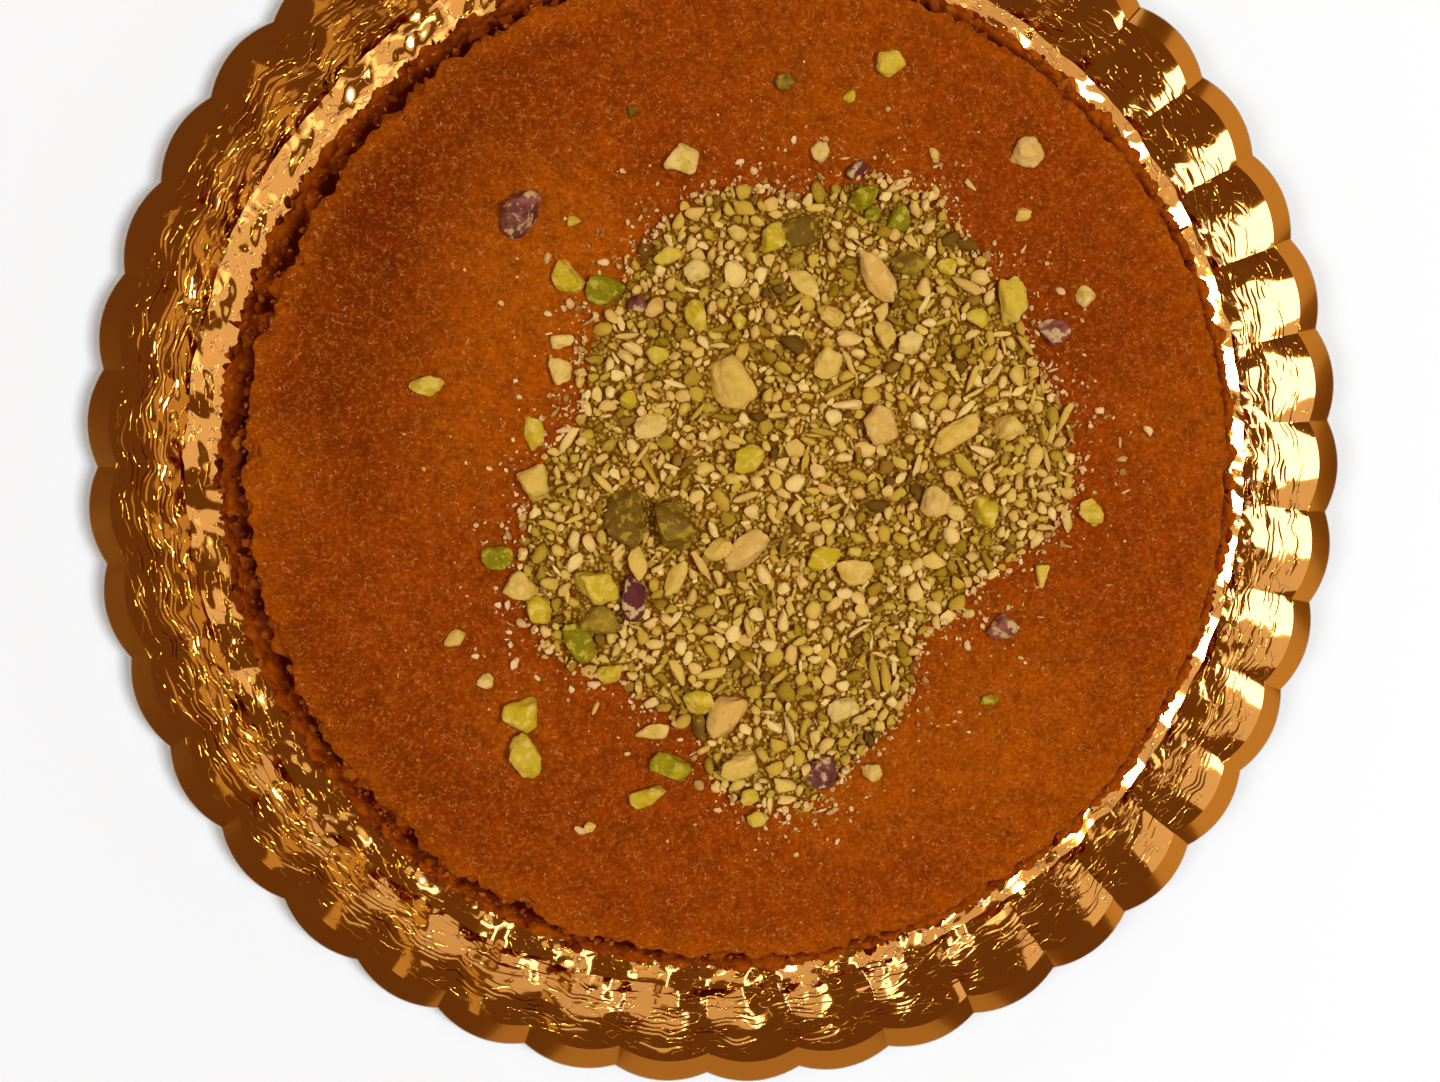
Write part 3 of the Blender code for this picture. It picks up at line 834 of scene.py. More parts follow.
def heap_reach(angle):
    """How far the heap goes from its middle in some directions."""
    reach = np.full(np.shape(angle), EDGE_SEARCH)
    for _ in range(int(EDGE_SEARCH / EDGE_STEP)):
        outside = scoop_cover(HEAP_X + reach * np.cos(angle), HEAP_Y + reach * np.sin(angle)) < 0.0
        reach = np.where(outside, reach - EDGE_STEP, reach)
    return reach


print("heap's reach towards +X in mm:", round(float(heap_reach(np.array(0.0))) / MM, 1))

# %% Shape the core
CORE_STEPS, CORE_RINGS = 300, 50
CORE_DEPTH = 1.3 * MM
CORE_INSET = 2.6 * MM
CORE_LOWEST, CORE_SKIRT = 0.25 * MM, -0.1 * MM  # heights over the cake's top


def core_rings():
    """The core from its skirt, which dips into the cake, to its middle."""
    angle = math.tau * np.arange(CORE_STEPS) / CORE_STEPS
    share = np.concatenate(((1.0,), np.linspace(1.0, 0.03, CORE_RINGS)))[:, None]
    reach = share * (heap_reach(angle) - CORE_INSET)
    x = HEAP_X + reach * np.cos(angle)
    y = HEAP_Y + reach * np.sin(angle)
    spots = np.stack((x, y, 0 * x), axis=-1)
    bumps = 0.5 * MM * noise_at(spots / (1.9 * MM), 9) + 0.4 * MM * noise_at(spots / (4.2 * MM), 10)
    z = np.maximum(HEAP_FLOOR_Z + heap_height(x, y) - CORE_DEPTH + bumps, CAKE_TOP_Z + CORE_LOWEST)
    z[0] = CAKE_TOP_Z + CORE_SKIRT
    return np.stack((x, y, z), axis=-1)


core = core_rings()
print("core grid:", core.shape[:2])


# %% Make the core
def make_core_finish():
    """Nut meal: small pale bits, with painted shade in the gaps between them."""
    finish = Finish("pistachio_meal")
    bits = finish.cells(1.0 * MM)
    light = finish.mix(finish.luck(1.0 * MM, 0), tint(158, 116, 34), tint(196, 152, 66))
    # painted shade: the gaps between the bits are painted darker
    colour = finish.mix(finish.step(bits, 0.36, 0.60), light, tint(120, 72, 10))
    relief = finish.bump(1 - bits, 0.6 * MM, 0.8)
    finish.shade(base_color=colour, roughness=0.7 + 0.2 * bits, normal=relief, specular_ior_level=0.05)
    return finish


core_faces = closed_faces(len(core), CORE_STEPS)
core_points = core.reshape(-1, 3)
core_finish = make_core_finish()
make_piece("heap_core", core_points, core_faces, core_finish, 180, "pistachio_heap")

# %% [markdown]
# ## The larger nuts
#
# A pistachio kernel is green under a purple-brown skin and pale yellow inside, so a chopped one
# shows any of those. The larger pieces lie where the picture has them, each with its kind. A cut
# nut has flattish sides and soft corners. That is the shape of a ball pressed in by a dozen
# planes, which is easy to write: each direction goes out as far as the nearest plane lets it.

# %% List the heap's larger nuts: x, y, length, width in millimetres, turn in degrees, kind
HEAP_NUTS = (
    (-2, 19, 14, 10, -60, "pale"),
    (32, 43, 12, 6, -55, "blush"),
    (15, 43, 8, 4, -45, "pale"),
    (20, 24, 7, 6, 20, "pale"),
    (34, 30, 7, 4, 95, "pale"),
    (16, 54, 10, 7, 10, "olive"),
    (39, 47, 9, 5, 0, "olive"),
    (38, 57, 7, 5, 80, "green"),
    (30, 62, 7, 6, 0, "green"),
    (9, 53, 8, 6, 40, "lime"),
    (-10, 36, 8, 6, 95, "lime"),
    (-21, 10, 8, 5, 20, "pale"),
    (2, 2, 8, 6, 0, "lime"),
    (-26, -10, 13, 9, 85, "olive"),
    (-15, -12, 13, 10, -60, "olive"),
    (1, -19, 12, 6, 40, "blush"),
    (-15, -25, 10, 4, 65, "pale"),
    (-24, -20, 8, 4, 95, "pale"),
    (-33, -26, 10, 9, 0, "lime"),
    (-25, -29, 9, 6, 85, "skin"),
    (-33, -34, 11, 6, 0, "olive"),
    (-38, -39, 10, 6, -60, "green"),
    (-31, -47, 6, 5, 60, "lime"),
    (-10, -54, 7, 6, 0, "lime"),
    (-3, -57, 12, 8, 60, "blush"),
    (23, -57, 7, 6, 0, "pale"),
    (19, -72, 8, 7, 60, "skin"),
    (0, -69, 9, 7, 0, "pale"),
    (34, 9, 9, 8, -40, "blush"),
    (51, 7, 11, 6, 35, "pale"),
    (63, 9, 7, 6, 0, "pale"),
    (46, -9, 8, 7, -20, "blush"),
    (57, -11, 8, 6, 90, "lime"),
    (26, -24, 8, 6, 0, "pale"),
    (64, 37, 12, 7, 85, "lime"),
    (-47, -2, 10, 9, 110, "pale"),
    (-30, 41, 8, 7, 0, "green"),
    (-51, -26, 8, 6, -30, "pale"),
    (-47, -32, 7, 6, 0, "lime"),
)
print(len(HEAP_NUTS), "larger nuts on the heap")

# %% List the loose nuts round the heap
LOOSE_NUTS = (
    (-12, 71, 9, 7, 95, "pale"),
    (-49, 59, 11, 9, 30, "skin"),
    (-39, 44, 9, 7, 100, "lime"),
    (-40, 30, 5, 4, 0, "pale"),
    (-41, 23, 8, 5, 85, "pale"),
    (-71, 20, 7, 6, 0, "lime"),
    (-47, 9, 7, 4, 95, "lime"),
    (-56, -19, 6, 6, 0, "green"),
    (-51, -56, 8, 8, 60, "lime"),
    (-50, -66, 11, 8, 85, "lime"),
    (-17, -69, 8, 7, 0, "green"),
    (-22, -76, 8, 6, 10, "lime"),
    (-20, -61, 8, 4, 10, "pale"),
    (31, -72, 6, 5, 0, "pale"),
    (68, 72, 7, 7, 0, "blush"),
    (36, 92, 7, 6, 0, "lime"),
    (12, 88, 4, 4, 0, "olive"),
    (20, 72, 5, 5, 0, "pale"),
    (47, 72, 4, 2, 120, "pale"),
    (68, 58, 4, 3, 20, "pale"),
    (83, 39, 5, 5, 0, "pale"),
    (75, 30, 7, 6, 0, "skin"),
    (84, -12, 6, 6, 0, "lime"),
    (72, -26, 6, 4, 70, "lime"),
    (62, -39, 6, 6, 0, "skin"),
    (59, -56, 4, 3, 0, "green"),
    (-66, -38, 5, 4, 70, "pale"),
    (-59, -48, 4, 3, 0, "pale"),
    (-36, -83, 3, 3, 0, "pale"),
    (-23, 82, 3, 3, 0, "olive"),
    (47, 63, 4, 1.6, 80, "pale"),
    (78, -14, 6, 3, 95, "pale"),
    (71, -18, 5, 3, 45, "pale"),
    (54, -35, 3, 3, 0, "pale"),
    (27, 85, 3, 3, 0, "lime"),
    (-37, 57, 3, 3, 0, "lime"),
    (-34, -55, 3, 1.4, 70, "pale"),
)
print(len(LOOSE_NUTS), "loose nuts")

# %% List the heap's nuts of middling size
MIDDLING_NUTS = (
    (21, 35, 6, 5, 0, "pale"),
    (40, 28, 5.5, 5, 0, "pale"),
    (28, 68, 5.5, 4, 30, "skin"),
    (32, 58, 4, 4, 0, "green"),
    (45, 55, 4.6, 2.3, 60, "pale"),
    (49, 46, 5, 4, 0, "lime"),
    (56, 34, 5, 4.5, 0, "lime"),
    (-16, 49, 6, 4, 0, "lime"),
    (-9, 45, 5.5, 5, 0, "pale"),
    (0, 34, 4, 4, 0, "lime"),
    (0, 54, 4.6, 4, 0, "pale"),
    (-19, 26, 5, 4, 0, "lime"),
    (-23, 38, 4.6, 4, 0, "skin"),
    (-19, 37, 5.5, 3.5, 80, "blush"),
    (-25, 16, 4, 4, 0, "lime"),
    (-5, -18, 6.4, 5, 20, "pale"),
    (-15, -47, 6.4, 3.2, -60, "pale"),
    (-10, -60, 6.4, 4, 90, "olive"),
    (1, -77, 4.6, 4, 0, "lime"),
    (3, -82, 5.5, 3.7, 20, "lime"),
    (50, -11, 4.6, 4, 0, "pale"),
    (49, -3, 4, 3.5, 0, "pale"),
    (19, -21, 7, 4.6, 15, "lime"),
)
print(len(MIDDLING_NUTS), "nuts of middling size")

# %% Shape one nut
NUT_CUTS, NUT_SHARPNESS, NUT_ROUGHNESS = 11, 10, 0.15


def ball(subdivisions):
    """Points and faces of a ball of triangles with radius 1."""
    bm = bmesh.new()
    bmesh.ops.create_icosphere(bm, subdivisions=subdivisions, radius=1.0)
    points = np.array([tuple(vert.co) for vert in bm.verts])
    faces = np.array([[vert.index for vert in face.verts] for face in bm.faces])
    bm.free()
    return points, faces


BALLS = {size: ball(size) for size in (2, 3, 4)}
print("balls have", [len(faces) for _, faces in BALLS.values()], "faces")


def cut_ball(fineness, cuts, sharpness, roughness, rng):
    """A ball pressed in by planes from random sides, with rough skin."""
    # the nearest plane wins, softly: the sharper the power, the sharper the edge between planes
    ways, faces = BALLS[fineness]
    planes = rng.normal(size=(cuts, 3))
    planes /= np.linalg.norm(planes, axis=1, keepdims=True)
    depth = rng.uniform(0.60, 1.0, cuts)
    pressed = np.maximum(ways @ planes.T, 0.0) / depth
    reach = (np.sum(pressed**sharpness, axis=1) + 1e-6) ** (-1 / sharpness)
    reach = np.minimum(reach, 1.2)
    seed = rng.uniform(0, 50)
    rough = roughness * (noise_at(ways * 1.7 + seed, 11) + 0.5 * noise_at(ways * 4.2 + seed, 12))
    return ways * (reach * (1 + rough))[:, None], faces


def turned(points, turn, tilt, roll):
    """Points turned about Z after a tilt about X and a roll about Y."""
    for axis, angle in ((1, roll), (0, tilt), (2, turn)):
        one, two = [other for other in (0, 1, 2) if other != axis]
        moved = points.copy()
        moved[:, one] = points[:, one] * math.cos(angle) - points[:, two] * math.sin(angle)
        moved[:, two] = points[:, one] * math.sin(angle) + points[:, two] * math.cos(angle)
        points = moved
    return points


# %% Gather nuts or crumbs into one piece
class Pile:
    """Meshes gathered to become one piece."""

    def __init__(self):
        self.points = []
        self.faces = []
        self.count = 0

    def add(self, points, faces):
        """Put one more mesh on the pile."""
        self.points.append(points)
        self.faces.append(faces + self.count)
        self.count += len(points)

    def make(self, name, finish, slot, smooth):
        """Turn the whole pile into one piece."""
        faces = np.concatenate(self.faces).tolist()
        make_piece(name, np.concatenate(self.points), faces, finish, smooth)


print("a new pile holds", Pile().count, "points")

# %% [markdown]
# ### What the nuts are coloured with
#
# Each kind has a light, a deep and a patch colour. Which of them a nut shows changes from nut to
# nut, by the random number that Blender gives each loose island of a mesh, and across each nut,
# by soft clouds. A cut face is dry and dull, with a fine grain and a few dark pores painted as shade.

# %% Mix the nuts' finishes
# the light, the deep and the patch colour of each kind
KIND_COLOURS = {
    "pale": (tint(232, 190, 108), tint(212, 166, 76), tint(196, 158, 54)),
    "blush": (tint(226, 180, 96), tint(206, 154, 74), tint(218, 176, 100)),
    "lime": (tint(216, 176, 56), tint(188, 152, 30), tint(222, 184, 88)),
    "green": (tint(172, 148, 20), tint(126, 110, 8), tint(200, 170, 58)),
    "olive": (tint(158, 122, 36), tint(108, 76, 18), tint(178, 142, 40)),
    "skin": (tint(150, 86, 66), tint(92, 42, 38), tint(222, 182, 122)),
}


def make_nut_finish(kind):
    """One kind of nut: it changes from nut to nut, and over each nut."""
    light, deep, patch = KIND_COLOURS[kind]
    finish = Finish("nut_" + kind)
    island = finish.node("NewGeometry", None, None, "Random Per Island")
    cloud = finish.cloud(3.0 * MM, detail=3.0, roughness=0.6)
    colour = finish.mix(finish.step(cloud + 0.5 * island, 0.45, 0.95), light, deep)
    patches = finish.step(finish.cloud(2.2 * MM, offset=(0.2, 0.4, 0.1)), 0.50, 0.64)
    colour = finish.mix(0.7 * patches, colour, patch)
    # painted shade: dark spots where pores would hold shade
    pore_shade = finish.spots(1.6 * MM, 0.20, 0.08, 1, 0.6, 0.8)
    colour = finish.mix(0.5 * pore_shade, colour, tint(88, 58, 18))
    grain = finish.cloud(0.5 * MM)
    colour = finish.dim(colour, 0.84 + 0.16 * island + 0.16 * grain)
    relief = finish.bump(grain, 0.14 * MM, 0.5)
    finish.shade(base_color=colour, roughness=0.55 + 0.2 * grain, normal=relief, specular_ior_level=0.1)
    return finish


nut_finishes = {kind: make_nut_finish(kind) for kind in KIND_COLOURS}
print("kinds of nut:", sorted(nut_finishes))

# %% [markdown]
# ### Letting nuts and crumbs come down on the heap
#
# Crumbs that are only scattered over a surface cut through each other, or leave it bare. In a
# real heap each one comes to rest on those below. So a fine grid keeps the height that the heap
# has so far. A crumb rests on what lies under it, sinks in a little, and raises the grid by its
# own dome. One that would stand above the heap's form is not kept, so the heap fills up to the
# form and no further.

# %% Keep the heap's height on a grid
GROUND_HALF, GROUND_STEP = 105 * MM, 0.4 * MM
UNDER_CRUMB = 0.3  # a crumb rests on what lies below this part of its dome


class Ground:
    """How high the heap stands at each spot, as nuts and crumbs come down on it."""

    def __init__(self):
        self.start, self.step = -GROUND_HALF, GROUND_STEP
        side = np.arange(self.start, -self.start, self.step)
        self.x, self.y = np.meshgrid(side, side, indexing="ij")
        inside = scoop_cover(self.x, self.y) > 0
        self.form = np.where(inside, HEAP_FLOOR_Z + heap_height(self.x, self.y), CAKE_TOP_Z)
        self.height = np.maximum(self.form - CORE_DEPTH, CAKE_TOP_Z)

    def dome(self, x, y, half, turn):
        """The grid's window round a crumb, and how far its dome reaches there, from 0 to 1."""
        wide = int(half[0] / self.step) + 1
        column, row = round((x - self.start) / self.step), round((y - self.start) / self.step)
        window = (slice(column - wide, column + wide + 1), slice(row - wide, row + wide + 1))
        away_x, away_y = self.x[window] - x, self.y[window] - y
        along = (away_x * math.cos(turn) + away_y * math.sin(turn)) / half[0]
        aside = (away_y * math.cos(turn) - away_x * math.sin(turn)) / half[1]
        return window, np.sqrt(np.maximum(1 - along**2 - aside**2, 0.0))

    def cover(self, window, dome, middle, half):
        """Raise the grid by what lies there now."""
        top = np.where(dome > 0, middle + dome * half[2], 0.0)
        self.height[window] = np.maximum(self.height[window], top)

    def drop(self, x, y, half, turn, sink, proud):
        """Let a crumb come down: the height of its middle, or None if it would stand too proud."""
        window, dome = self.dome(x, y, half, turn)
        under = self.height[window][dome > UNDER_CRUMB]
        if not len(under):
            return None
        middle = 0.5 * (under.mean() + under.max()) + (1 - sink) * half[2]
        wide = self.form[window].shape[0] // 2
        if middle + half[2] > self.form[window][wide, wide] + proud:
            return None
        self.cover(window, dome, middle, half)
        return middle


ground = Ground()
print("ground grid:", ground.height.shape)

# %% Place the larger nuts
NUT_THICKNESS = 0.72
NUT_TILT, NUT_ROLL = 0.3, 0.2
FINE_FROM = 6  # nuts at least this long, in millimetres, get the finest ball
LOOSE_SINK, HEAP_LIFT = 0.25, 0.06
LOWEST_NUT = 0.3 * MM  # how deep a nut may reach into the crust


def lay_nuts(piles, nuts, rng, on_heap):
    """Shape each listed nut and put it in the pile of its kind."""
    for x, y, length, width, turn, kind in nuts:
        half = np.array((length, width, width * NUT_THICKNESS)) * MM / 2
        swing = math.radians(turn)
        fineness = 4 if length >= FINE_FROM else 3
        points, faces = cut_ball(fineness, NUT_CUTS, NUT_SHARPNESS, NUT_ROUGHNESS, rng)
        tilt, roll = rng.uniform(-NUT_TILT, NUT_TILT), rng.uniform(-NUT_ROLL, NUT_ROLL)
        points = turned(points * half, swing, tilt, roll)
        x, y = x * MM, y * MM
        middle = CAKE_TOP_Z + (1 - 2 * LOOSE_SINK) * half[2]
        if on_heap:
            middle = HEAP_FLOOR_Z + heap_height(x, y) + HEAP_LIFT * width * MM
        window, dome = ground.dome(x, y, half, swing)
        ground.cover(window, dome, middle, half)
        points = points + np.array((x, y, middle))
        points[:, 2] = np.clip(points[:, 2], CAKE_TOP_Z - LOWEST_NUT, cad_high.z)
        piles[kind].add(points, faces)


nut_rng = np.random.default_rng(41)
nut_piles = {kind: Pile() for kind in KIND_COLOURS}
lay_nuts(nut_piles, HEAP_NUTS, nut_rng, True)
lay_nuts(nut_piles, MIDDLING_NUTS, nut_rng, True)
lay_nuts(nut_piles, LOOSE_NUTS, nut_rng, False)
for kind, pile in nut_piles.items():
    pile.make("nuts_" + kind, nut_finishes[kind], "chopped_pistachio", 60)

# %% [markdown]
# ## The crumbs
#
# What makes the heap read as chopped nut is thousands of crumbs, no two alike. The larger ones
# are pressed balls like the nuts, the rest are hulls of a few points, and all are stretched and
# turned at random. They come down in five falls: some that lie deep, the largest, then finer and
# finer ones that find the gaps. Each kind of colour is a piece of its own, and the dark kinds lie
# in drifts, as crumbs of the same nut do.

# %% Shape the crumbs' patterns
def hull(points):
    """The convex hull of a few points: the points that it uses, and its faces."""
    bm = bmesh.new()
    for point in points:
        bm.verts.new(point)
    found = bmesh.ops.convex_hull(bm, input=bm.verts)
    spare = [item for item in found["geom_interior"] if isinstance(item, bmesh.types.BMVert)]
    bmesh.ops.delete(bm, geom=spare, context="VERTS")
    bm.verts.index_update()
    used = np.array([tuple(vert.co) for vert in bm.verts])
    faces = np.array([[vert.index for vert in face.verts] for face in bm.faces])
    bm.free()
    return used, faces


def hull_pattern(corners, rng):
    """A small hull of points strewn evenly over a ball and pushed about."""
    order = np.arange(corners)
    level = 1.0 - 2.0 * (order + 0.5) / corners
    around = order * math.pi * (3.0 - math.sqrt(5.0)) + rng.uniform(-0.5, 0.5, corners)
    ring = np.sqrt(1.0 - level**2)
    points = np.stack((ring * np.cos(around), ring * np.sin(around), level), axis=-1)
    return hull(points * rng.uniform(0.75, 1.1, (corners, 1)))


CRUMB_CUTS, CRUMB_SHARPNESS, CRUMB_ROUGHNESS = 9, 7, 0.22

crumb_rng = np.random.default_rng(7)
LARGE_PATTERNS = [cut_ball(2, CRUMB_CUTS, CRUMB_SHARPNESS, CRUMB_ROUGHNESS, crumb_rng) for _ in range(40)]
MIDDLE_PATTERNS = [hull_pattern(14, crumb_rng) for _ in range(40)]
SMALL_PATTERNS = [hull_pattern(9, crumb_rng) for _ in range(24)]
print("patterns:", [len(patterns) for patterns in (LARGE_PATTERNS, MIDDLE_PATTERNS, SMALL_PATTERNS)])

# %% Mix the crumbs' finishes
# each crumb takes one place between these stops
CRUMB_COLOURS = {
    "pale": ((0.0, tint(240, 200, 120)), (0.5, tint(226, 180, 96)), (1.0, tint(210, 162, 78))),
    "yellow": ((0.0, tint(224, 180, 86)), (0.5, tint(206, 162, 64)), (1.0, tint(192, 150, 50))),
    "olive": ((0.0, tint(192, 150, 54)), (0.5, tint(168, 128, 36)), (1.0, tint(146, 108, 22))),
    "brown": ((0.0, tint(160, 116, 44)), (0.5, tint(130, 90, 28)), (1.0, tint(100, 68, 22))),
}


def make_crumb_finish(name, stops):
    """One kind of crumb, with a colour of its own for each crumb."""
    finish = Finish(name)
    island = finish.node("NewGeometry", None, None, "Random Per Island")
    colour = finish.node("ValToRGB", {"stops": stops}, {0: island}, "Color")
    grain = finish.cloud(0.7 * MM)
    colour = finish.dim(colour, 0.84 + 0.32 * grain)
    relief = finish.bump(grain, 0.12 * MM, 0.45)
    finish.shade(base_color=colour, roughness=0.6 + 0.2 * grain, normal=relief, specular_ior_level=0.06)
    return finish


crumb_finishes = {kind: make_crumb_finish("crumbs_" + kind, stops) for kind, stops in CRUMB_COLOURS.items()}
print("crumb finishes:", sorted(crumb_finishes))

# %% Shape one crumb
SLIVERS = 0.07  # the share of long thin crumbs
LARGE_FROM, MIDDLE_FROM = 2.3 * MM, 1.3 * MM
CRUMB_TILT = 0.35


def crumb_half(size, rng):
    """Half the length, width and height of a crumb."""
    if rng.uniform() < SLIVERS:
        return size / 2 * np.array((rng.uniform(1.5, 2.1), rng.uniform(0.4, 0.6), rng.uniform(0.4, 0.55)))
    return size / 2 * np.array((rng.uniform(1.0, 1.35), rng.uniform(0.65, 1.0), rng.uniform(0.55, 0.85)))


def crumb_shape(size, half, turn, rng):
    """A crumb's points round its own middle, and its faces."""
    patterns = LARGE_PATTERNS
    if size <= LARGE_FROM:
        patterns = MIDDLE_PATTERNS if size > MIDDLE_FROM else SMALL_PATTERNS
    points, faces = patterns[rng.integers(len(patterns))]
    points = turned(points, 0.0, rng.uniform(0, math.tau), rng.uniform(0, math.tau))
    tilt, roll = rng.uniform(-CRUMB_TILT, CRUMB_TILT), rng.uniform(-CRUMB_TILT, CRUMB_TILT)
    return turned(points * half, turn, tilt, roll), faces


def pick_kind(x, y, rng):
    """A crumb's kind: the dark ones lie in drifts."""
    drift = noise.noise(Vector((x, y, 0)) / (11 * MM))
    luck = rng.uniform() + 0.55 * drift
    if luck < 0.40:
        return "pale"
    return "yellow" if luck < 0.78 else "olive" if luck < 1.0 else "brown"


print("one crumb in", round(1 / SLIVERS), "is a sliver")

# %% Let the crumbs fall
# smallest and largest size in millimetres, crumbs that fall, and how far one may stand proud
FALLS = (
    (1.6, 2.6, 7000, -0.6),
    (3.4, 5.4, 1700, 1.4),
    (2.2, 3.6, 14000, 1.0),
    (1.5, 2.3, 18000, 0.5),
    (0.9, 1.4, 7000, 0.1),
)
HEAP_LOW_X, HEAP_HIGH_X, HEAP_LOW_Y, HEAP_HIGH_Y = -62 * MM, 90 * MM, -92 * MM, 78 * MM
HEAP_COVER = 0.004  # crumbs fall only where the scoops are at least this deep
CRUMB_SINK = 0.25


def fall(piles, rng):
    """Let crumbs fall on the heap, and say how many stay."""
    stayed = []
    for smallest, largest, tries, proud in FALLS:
        before = sum(len(pile.points) for pile in piles.values())
        for _ in range(tries):
            x, y = rng.uniform(HEAP_LOW_X, HEAP_HIGH_X), rng.uniform(HEAP_LOW_Y, HEAP_HIGH_Y)
            size, turn = rng.uniform(smallest, largest) * MM, rng.uniform(0, math.tau)
            if scoop_cover(x, y) < HEAP_COVER:
                continue
            half = crumb_half(size, rng)
            middle = ground.drop(x, y, half, turn, CRUMB_SINK, proud * MM)
            if middle is None:
                continue
            points, faces = crumb_shape(size, half, turn, rng)
            piles[pick_kind(x, y, rng)].add(points + np.array((x, y, middle)), faces)
        stayed.append(sum(len(pile.points) for pile in piles.values()) - before)
    return stayed


crumb_piles = {kind: Pile() for kind in CRUMB_COLOURS}
print("crumbs that stayed from each fall:", fall(crumb_piles, crumb_rng))
for kind, pile in crumb_piles.items():
    pile.make("crumbs_" + kind, crumb_finishes[kind], "chopped_pistachio", 55)

# %% [markdown]
# ## Crumbs strewn on the crust
#
# Round the heap the crust carries stray crumbs, many close to the heap and few further out. A
# distance drawn from an exponential law does just that. They are paler and pinker than the
# heap's, for each stands alone in the light on an orange ground.

# %% Strew crumbs round the heap
STREWN, STREWN_SPREAD = 1150, 4.2 * MM
STREWN_FAR, FAR_SPREAD = 130, 17 * MM
STREWN_LARGEST, STREWN_PROUD, STREWN_SINK = 2.4 * MM, 1.6 * MM, 0.3
STREWN_OUTERMOST, STREWN_COVER = 96 * MM, 0.03
# painted light: paler colours, for crumbs that stand alone in the light
STREWN_LIT_COLOURS = ((0.0, tint(236, 192, 134)), (0.6, tint(212, 164, 96)), (1.0, tint(160, 110, 50)))


def strew(pile, count, spread, rng):
    """Crumbs beyond the heap's edge, thinning out with the distance."""
    angle = rng.uniform(0, math.tau, count)
    away = heap_reach(angle) - 1.5 * MM + rng.exponential(spread, count)
    for x, y in zip(HEAP_X + away * np.cos(angle), HEAP_Y + away * np.sin(angle)):
        size, turn = (0.6 + rng.exponential(0.5)) * MM, rng.uniform(0, math.tau)
        size = min(size, STREWN_LARGEST)
        if math.hypot(x - CAKE_X, y - CAKE_Y) > STREWN_OUTERMOST or scoop_cover(x, y) > STREWN_COVER:
            continue
        half = crumb_half(size, rng)
        middle = ground.drop(x, y, half, turn, STREWN_SINK, STREWN_PROUD)
        if middle is not None:
            points, faces = crumb_shape(size, half, turn, rng)
            pile.add(points + np.array((x, y, middle)), faces)


strewn = Pile()
strew(strewn, STREWN, STREWN_SPREAD, crumb_rng)
strew(strewn, STREWN_FAR, FAR_SPREAD, crumb_rng)
strewn_finish = make_crumb_finish("crumbs_strewn", STREWN_LIT_COLOURS)
strewn.make("crumbs_strewn", strewn_finish, "chopped_pistachio", 55)

# %% [markdown]
# ## Crumbs of the crust
#
# The side sheds its own crumbs: they cling under the crust's edge and lie where the cake meets
# the foil, most of them on the left, where the side is broken most.

# %% Let the side shed crumbs
SHED, SHED_LARGEST = 1100, 3.6 * MM
SHED_LIFT = np.array((0.0, 0.0, 0.4)) * MM
SHED_AT_FOOT, SHED_UNDER_RIM = (0.0, 0.12), (0.45, 0.9)  # parts of the cake's height
SHED_COLOURS = ((0.0, tint(176, 92, 22)), (0.4, tint(132, 52, 4)), (1.0, tint(78, 18, 0)))


def shed(pile, rng):
    """Crumbs along the cake's side, most of them on the left."""
    for _ in range(SHED):
        angle = math.pi + rng.normal(0.0, 1.5)
        level = rng.choice((rng.uniform(*SHED_AT_FOOT), rng.uniform(*SHED_UNDER_RIM)))
        size = (0.8 + rng.exponential(0.7)) * MM
        reach = CAKE_FOOT + (CAKE_TOP - CAKE_FOOT) * level + rng.uniform(-1.2, 0.4) * MM
        x, y = CAKE_X + reach * math.cos(angle), CAKE_Y + reach * math.sin(angle)
        spot = np.array((x, y, CAKE_BOTTOM_Z + level * CAKE_HEIGHT))
        half = crumb_half(min(size, SHED_LARGEST), rng)
        points, faces = crumb_shape(size, half, rng.uniform(0, math.tau), rng)
        pile.add(points + spot + SHED_LIFT, faces)


shed_crumbs = Pile()
shed(shed_crumbs, np.random.default_rng(19))
shed_finish = make_crumb_finish("crust_crumbs", SHED_COLOURS)
shed_crumbs.make("crust_crumbs", shed_finish, "semolina_crust", 45)

# %% [markdown]
# ## Floor, lights and room
#
# The floor is a plain white disc, so that it ends alike on every side. The foil mirrors whatever
# is round it, so the room matters as much as the lamps: a dim, warm room gives the dark amber of
# the left side. Each panel is there for one part of the tray. The bright key hangs high on the
# right, lights the crust and flashes in the left-hand flutes. A large one high on the left fills
# the right-hand wall. Two narrow strips overhead put a stripe in each flute near and far, and the
# faint cream ceilings and cards give the foil's flat parts their tan. Warm glows far out colour
# the lips. Four low cards near the horizon are what the wrinkles' steep sides mirror.

# %% Lay the floor
FLOOR_RADIUS, FLOOR_SIDES = 1.75, 128
FLOOR_COLOUR = (0.95, 0.95, 0.95)

floor_turns = [math.tau * side / FLOOR_SIDES for side in range(FLOOR_SIDES)]
floor_rim = [(FLOOR_RADIUS * math.cos(turn), FLOOR_RADIUS * math.sin(turn), 0.0) for turn in floor_turns]
floor_finish = Finish("floor")
floor_finish.shade(base_color=FLOOR_COLOUR, roughness=0.9)
floor_mesh = bpy.data.meshes.new("floor")
floor_mesh.from_pydata(floor_rim, [], [range(FLOOR_SIDES)])
floor_mesh.materials.append(floor_finish.material)
floor = bpy.data.objects.new("floor", floor_mesh)
bpy.context.scene.collection.objects.link(floor)
print("floor laid, a disc", 2 * FLOOR_RADIUS, "m across")

# %% Hang the lights
WATTS_FOR_RADIANCE = 2.88  # for each square metre of a panel
PANEL_COLOUR, CREAM_COLOUR, WARM_COLOUR = (0.830, 0.910, 1.0), (0.97, 0.93, 0.70), (1.0, 0.75, 0.25)
LOW_CARD_AWAY, LOW_CARD_HEIGHT = 1.7, 0.42


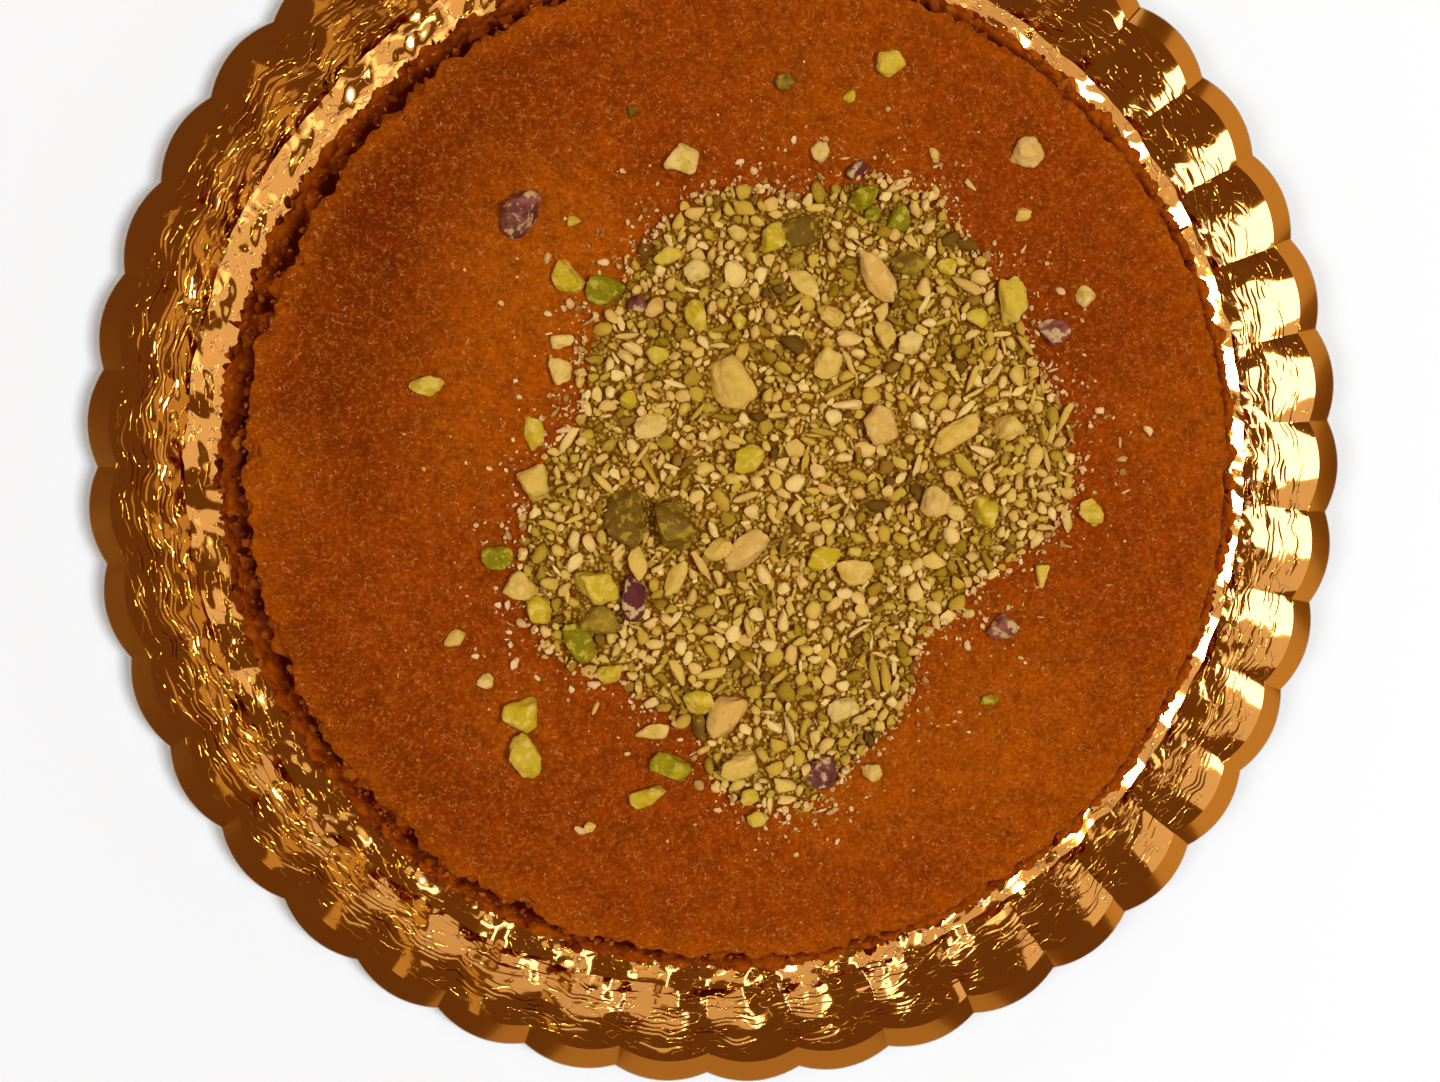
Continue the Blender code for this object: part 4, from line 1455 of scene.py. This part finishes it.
def hang_panel(name, place, size, radiance, colour=PANEL_COLOUR, level=False):
    """A panel that faces the tray, or lies level, at a place in metres: its size too is in metres."""
    light = bpy.data.lights.new(name, "AREA")
    light.shape = "RECTANGLE"
    light.size, light.size_y = size
    light.energy = radiance * WATTS_FOR_RADIANCE * size[0] * size[1]
    light.color = colour
    made = bpy.data.objects.new(name, light)
    made.location = place
    if not level:
        made.rotation_euler = (-Vector(place)).to_track_quat("-Z", "Y").to_euler()
    made.visible_camera = False
    bpy.context.scene.collection.objects.link(made)


hang_panel("key_panel", (0.92, -0.14, 2.40), (0.55, 0.75), 37)
hang_panel("left_panel", (-3.15, -0.60, 3.82), (2.30, 1.80), 5.2)
hang_panel("front_strip", (0.10, -0.50, 1.48), (0.08, 0.40), 4.0, level=True)
hang_panel("back_strip", (0.10, 0.68, 1.48), (0.08, 0.70), 4.0, level=True)
hang_panel("left_ceiling", (-0.25, 0.20, 1.50), (0.44, 0.60), 0.78, CREAM_COLOUR, level=True)
hang_panel("right_ceiling", (0.48, 0.24, 1.50), (0.64, 1.68), 0.62, CREAM_COLOUR, level=True)
hang_panel("cream_card", (-0.30, 0.36, 1.48), (0.4, 0.14), 1.1, CREAM_COLOUR, level=True)
hang_panel("left_card", (-2.24, 1.00, 2.60), (1.90, 1.40), 0.72, CREAM_COLOUR)
hang_panel("right_glow", (1.10, 0.00, 1.50), (0.30, 2.2), 0.45, WARM_COLOUR, level=True)
hang_panel("front_glow", (0.35, -1.20, 1.50), (1.30, 0.30), 0.30, WARM_COLOUR, level=True)
for bearing in range(0, 360, 90):
    across = LOW_CARD_AWAY * math.cos(math.radians(bearing))
    along = LOW_CARD_AWAY * math.sin(math.radians(bearing))
    hang_panel("low_card_" + str(bearing), (across, along, LOW_CARD_HEIGHT), (2.6, 0.65), 0.8)

# %% [markdown]
# The room round the tray is dark and warm, but a dark backdrop would look gloomy from the side.
# The world can be both: rays that go straight to the eye see a pale wall, and all others, those
# that light the tray and those that the foil mirrors, see the dim room.

# %% Paint the room
ROOM_COLOUR = (0.14, 0.065, 0.018)
WALL_COLOUR = (0.90, 0.90, 0.90)

world = bpy.data.worlds.new("room")
world.use_nodes = True
room = world.node_tree.nodes["Background"]
room.inputs["Color"].default_value = (*ROOM_COLOUR, 1.0)
wall = world.node_tree.nodes.new("ShaderNodeBackground")
wall.inputs["Color"].default_value = (*WALL_COLOUR, 1.0)
ray = world.node_tree.nodes.new("ShaderNodeLightPath")
either = world.node_tree.nodes.new("ShaderNodeMixShader")
world.node_tree.links.new(ray.outputs["Is Camera Ray"], either.inputs["Fac"])
world.node_tree.links.new(room.outputs[0], either.inputs[1])
world.node_tree.links.new(wall.outputs[0], either.inputs[2])
world.node_tree.links.new(either.outputs[0], world.node_tree.nodes["World Output"].inputs["Surface"])
bpy.context.scene.world = world
bpy.context.scene.view_settings.view_transform = "Standard"
print("room and wall set")
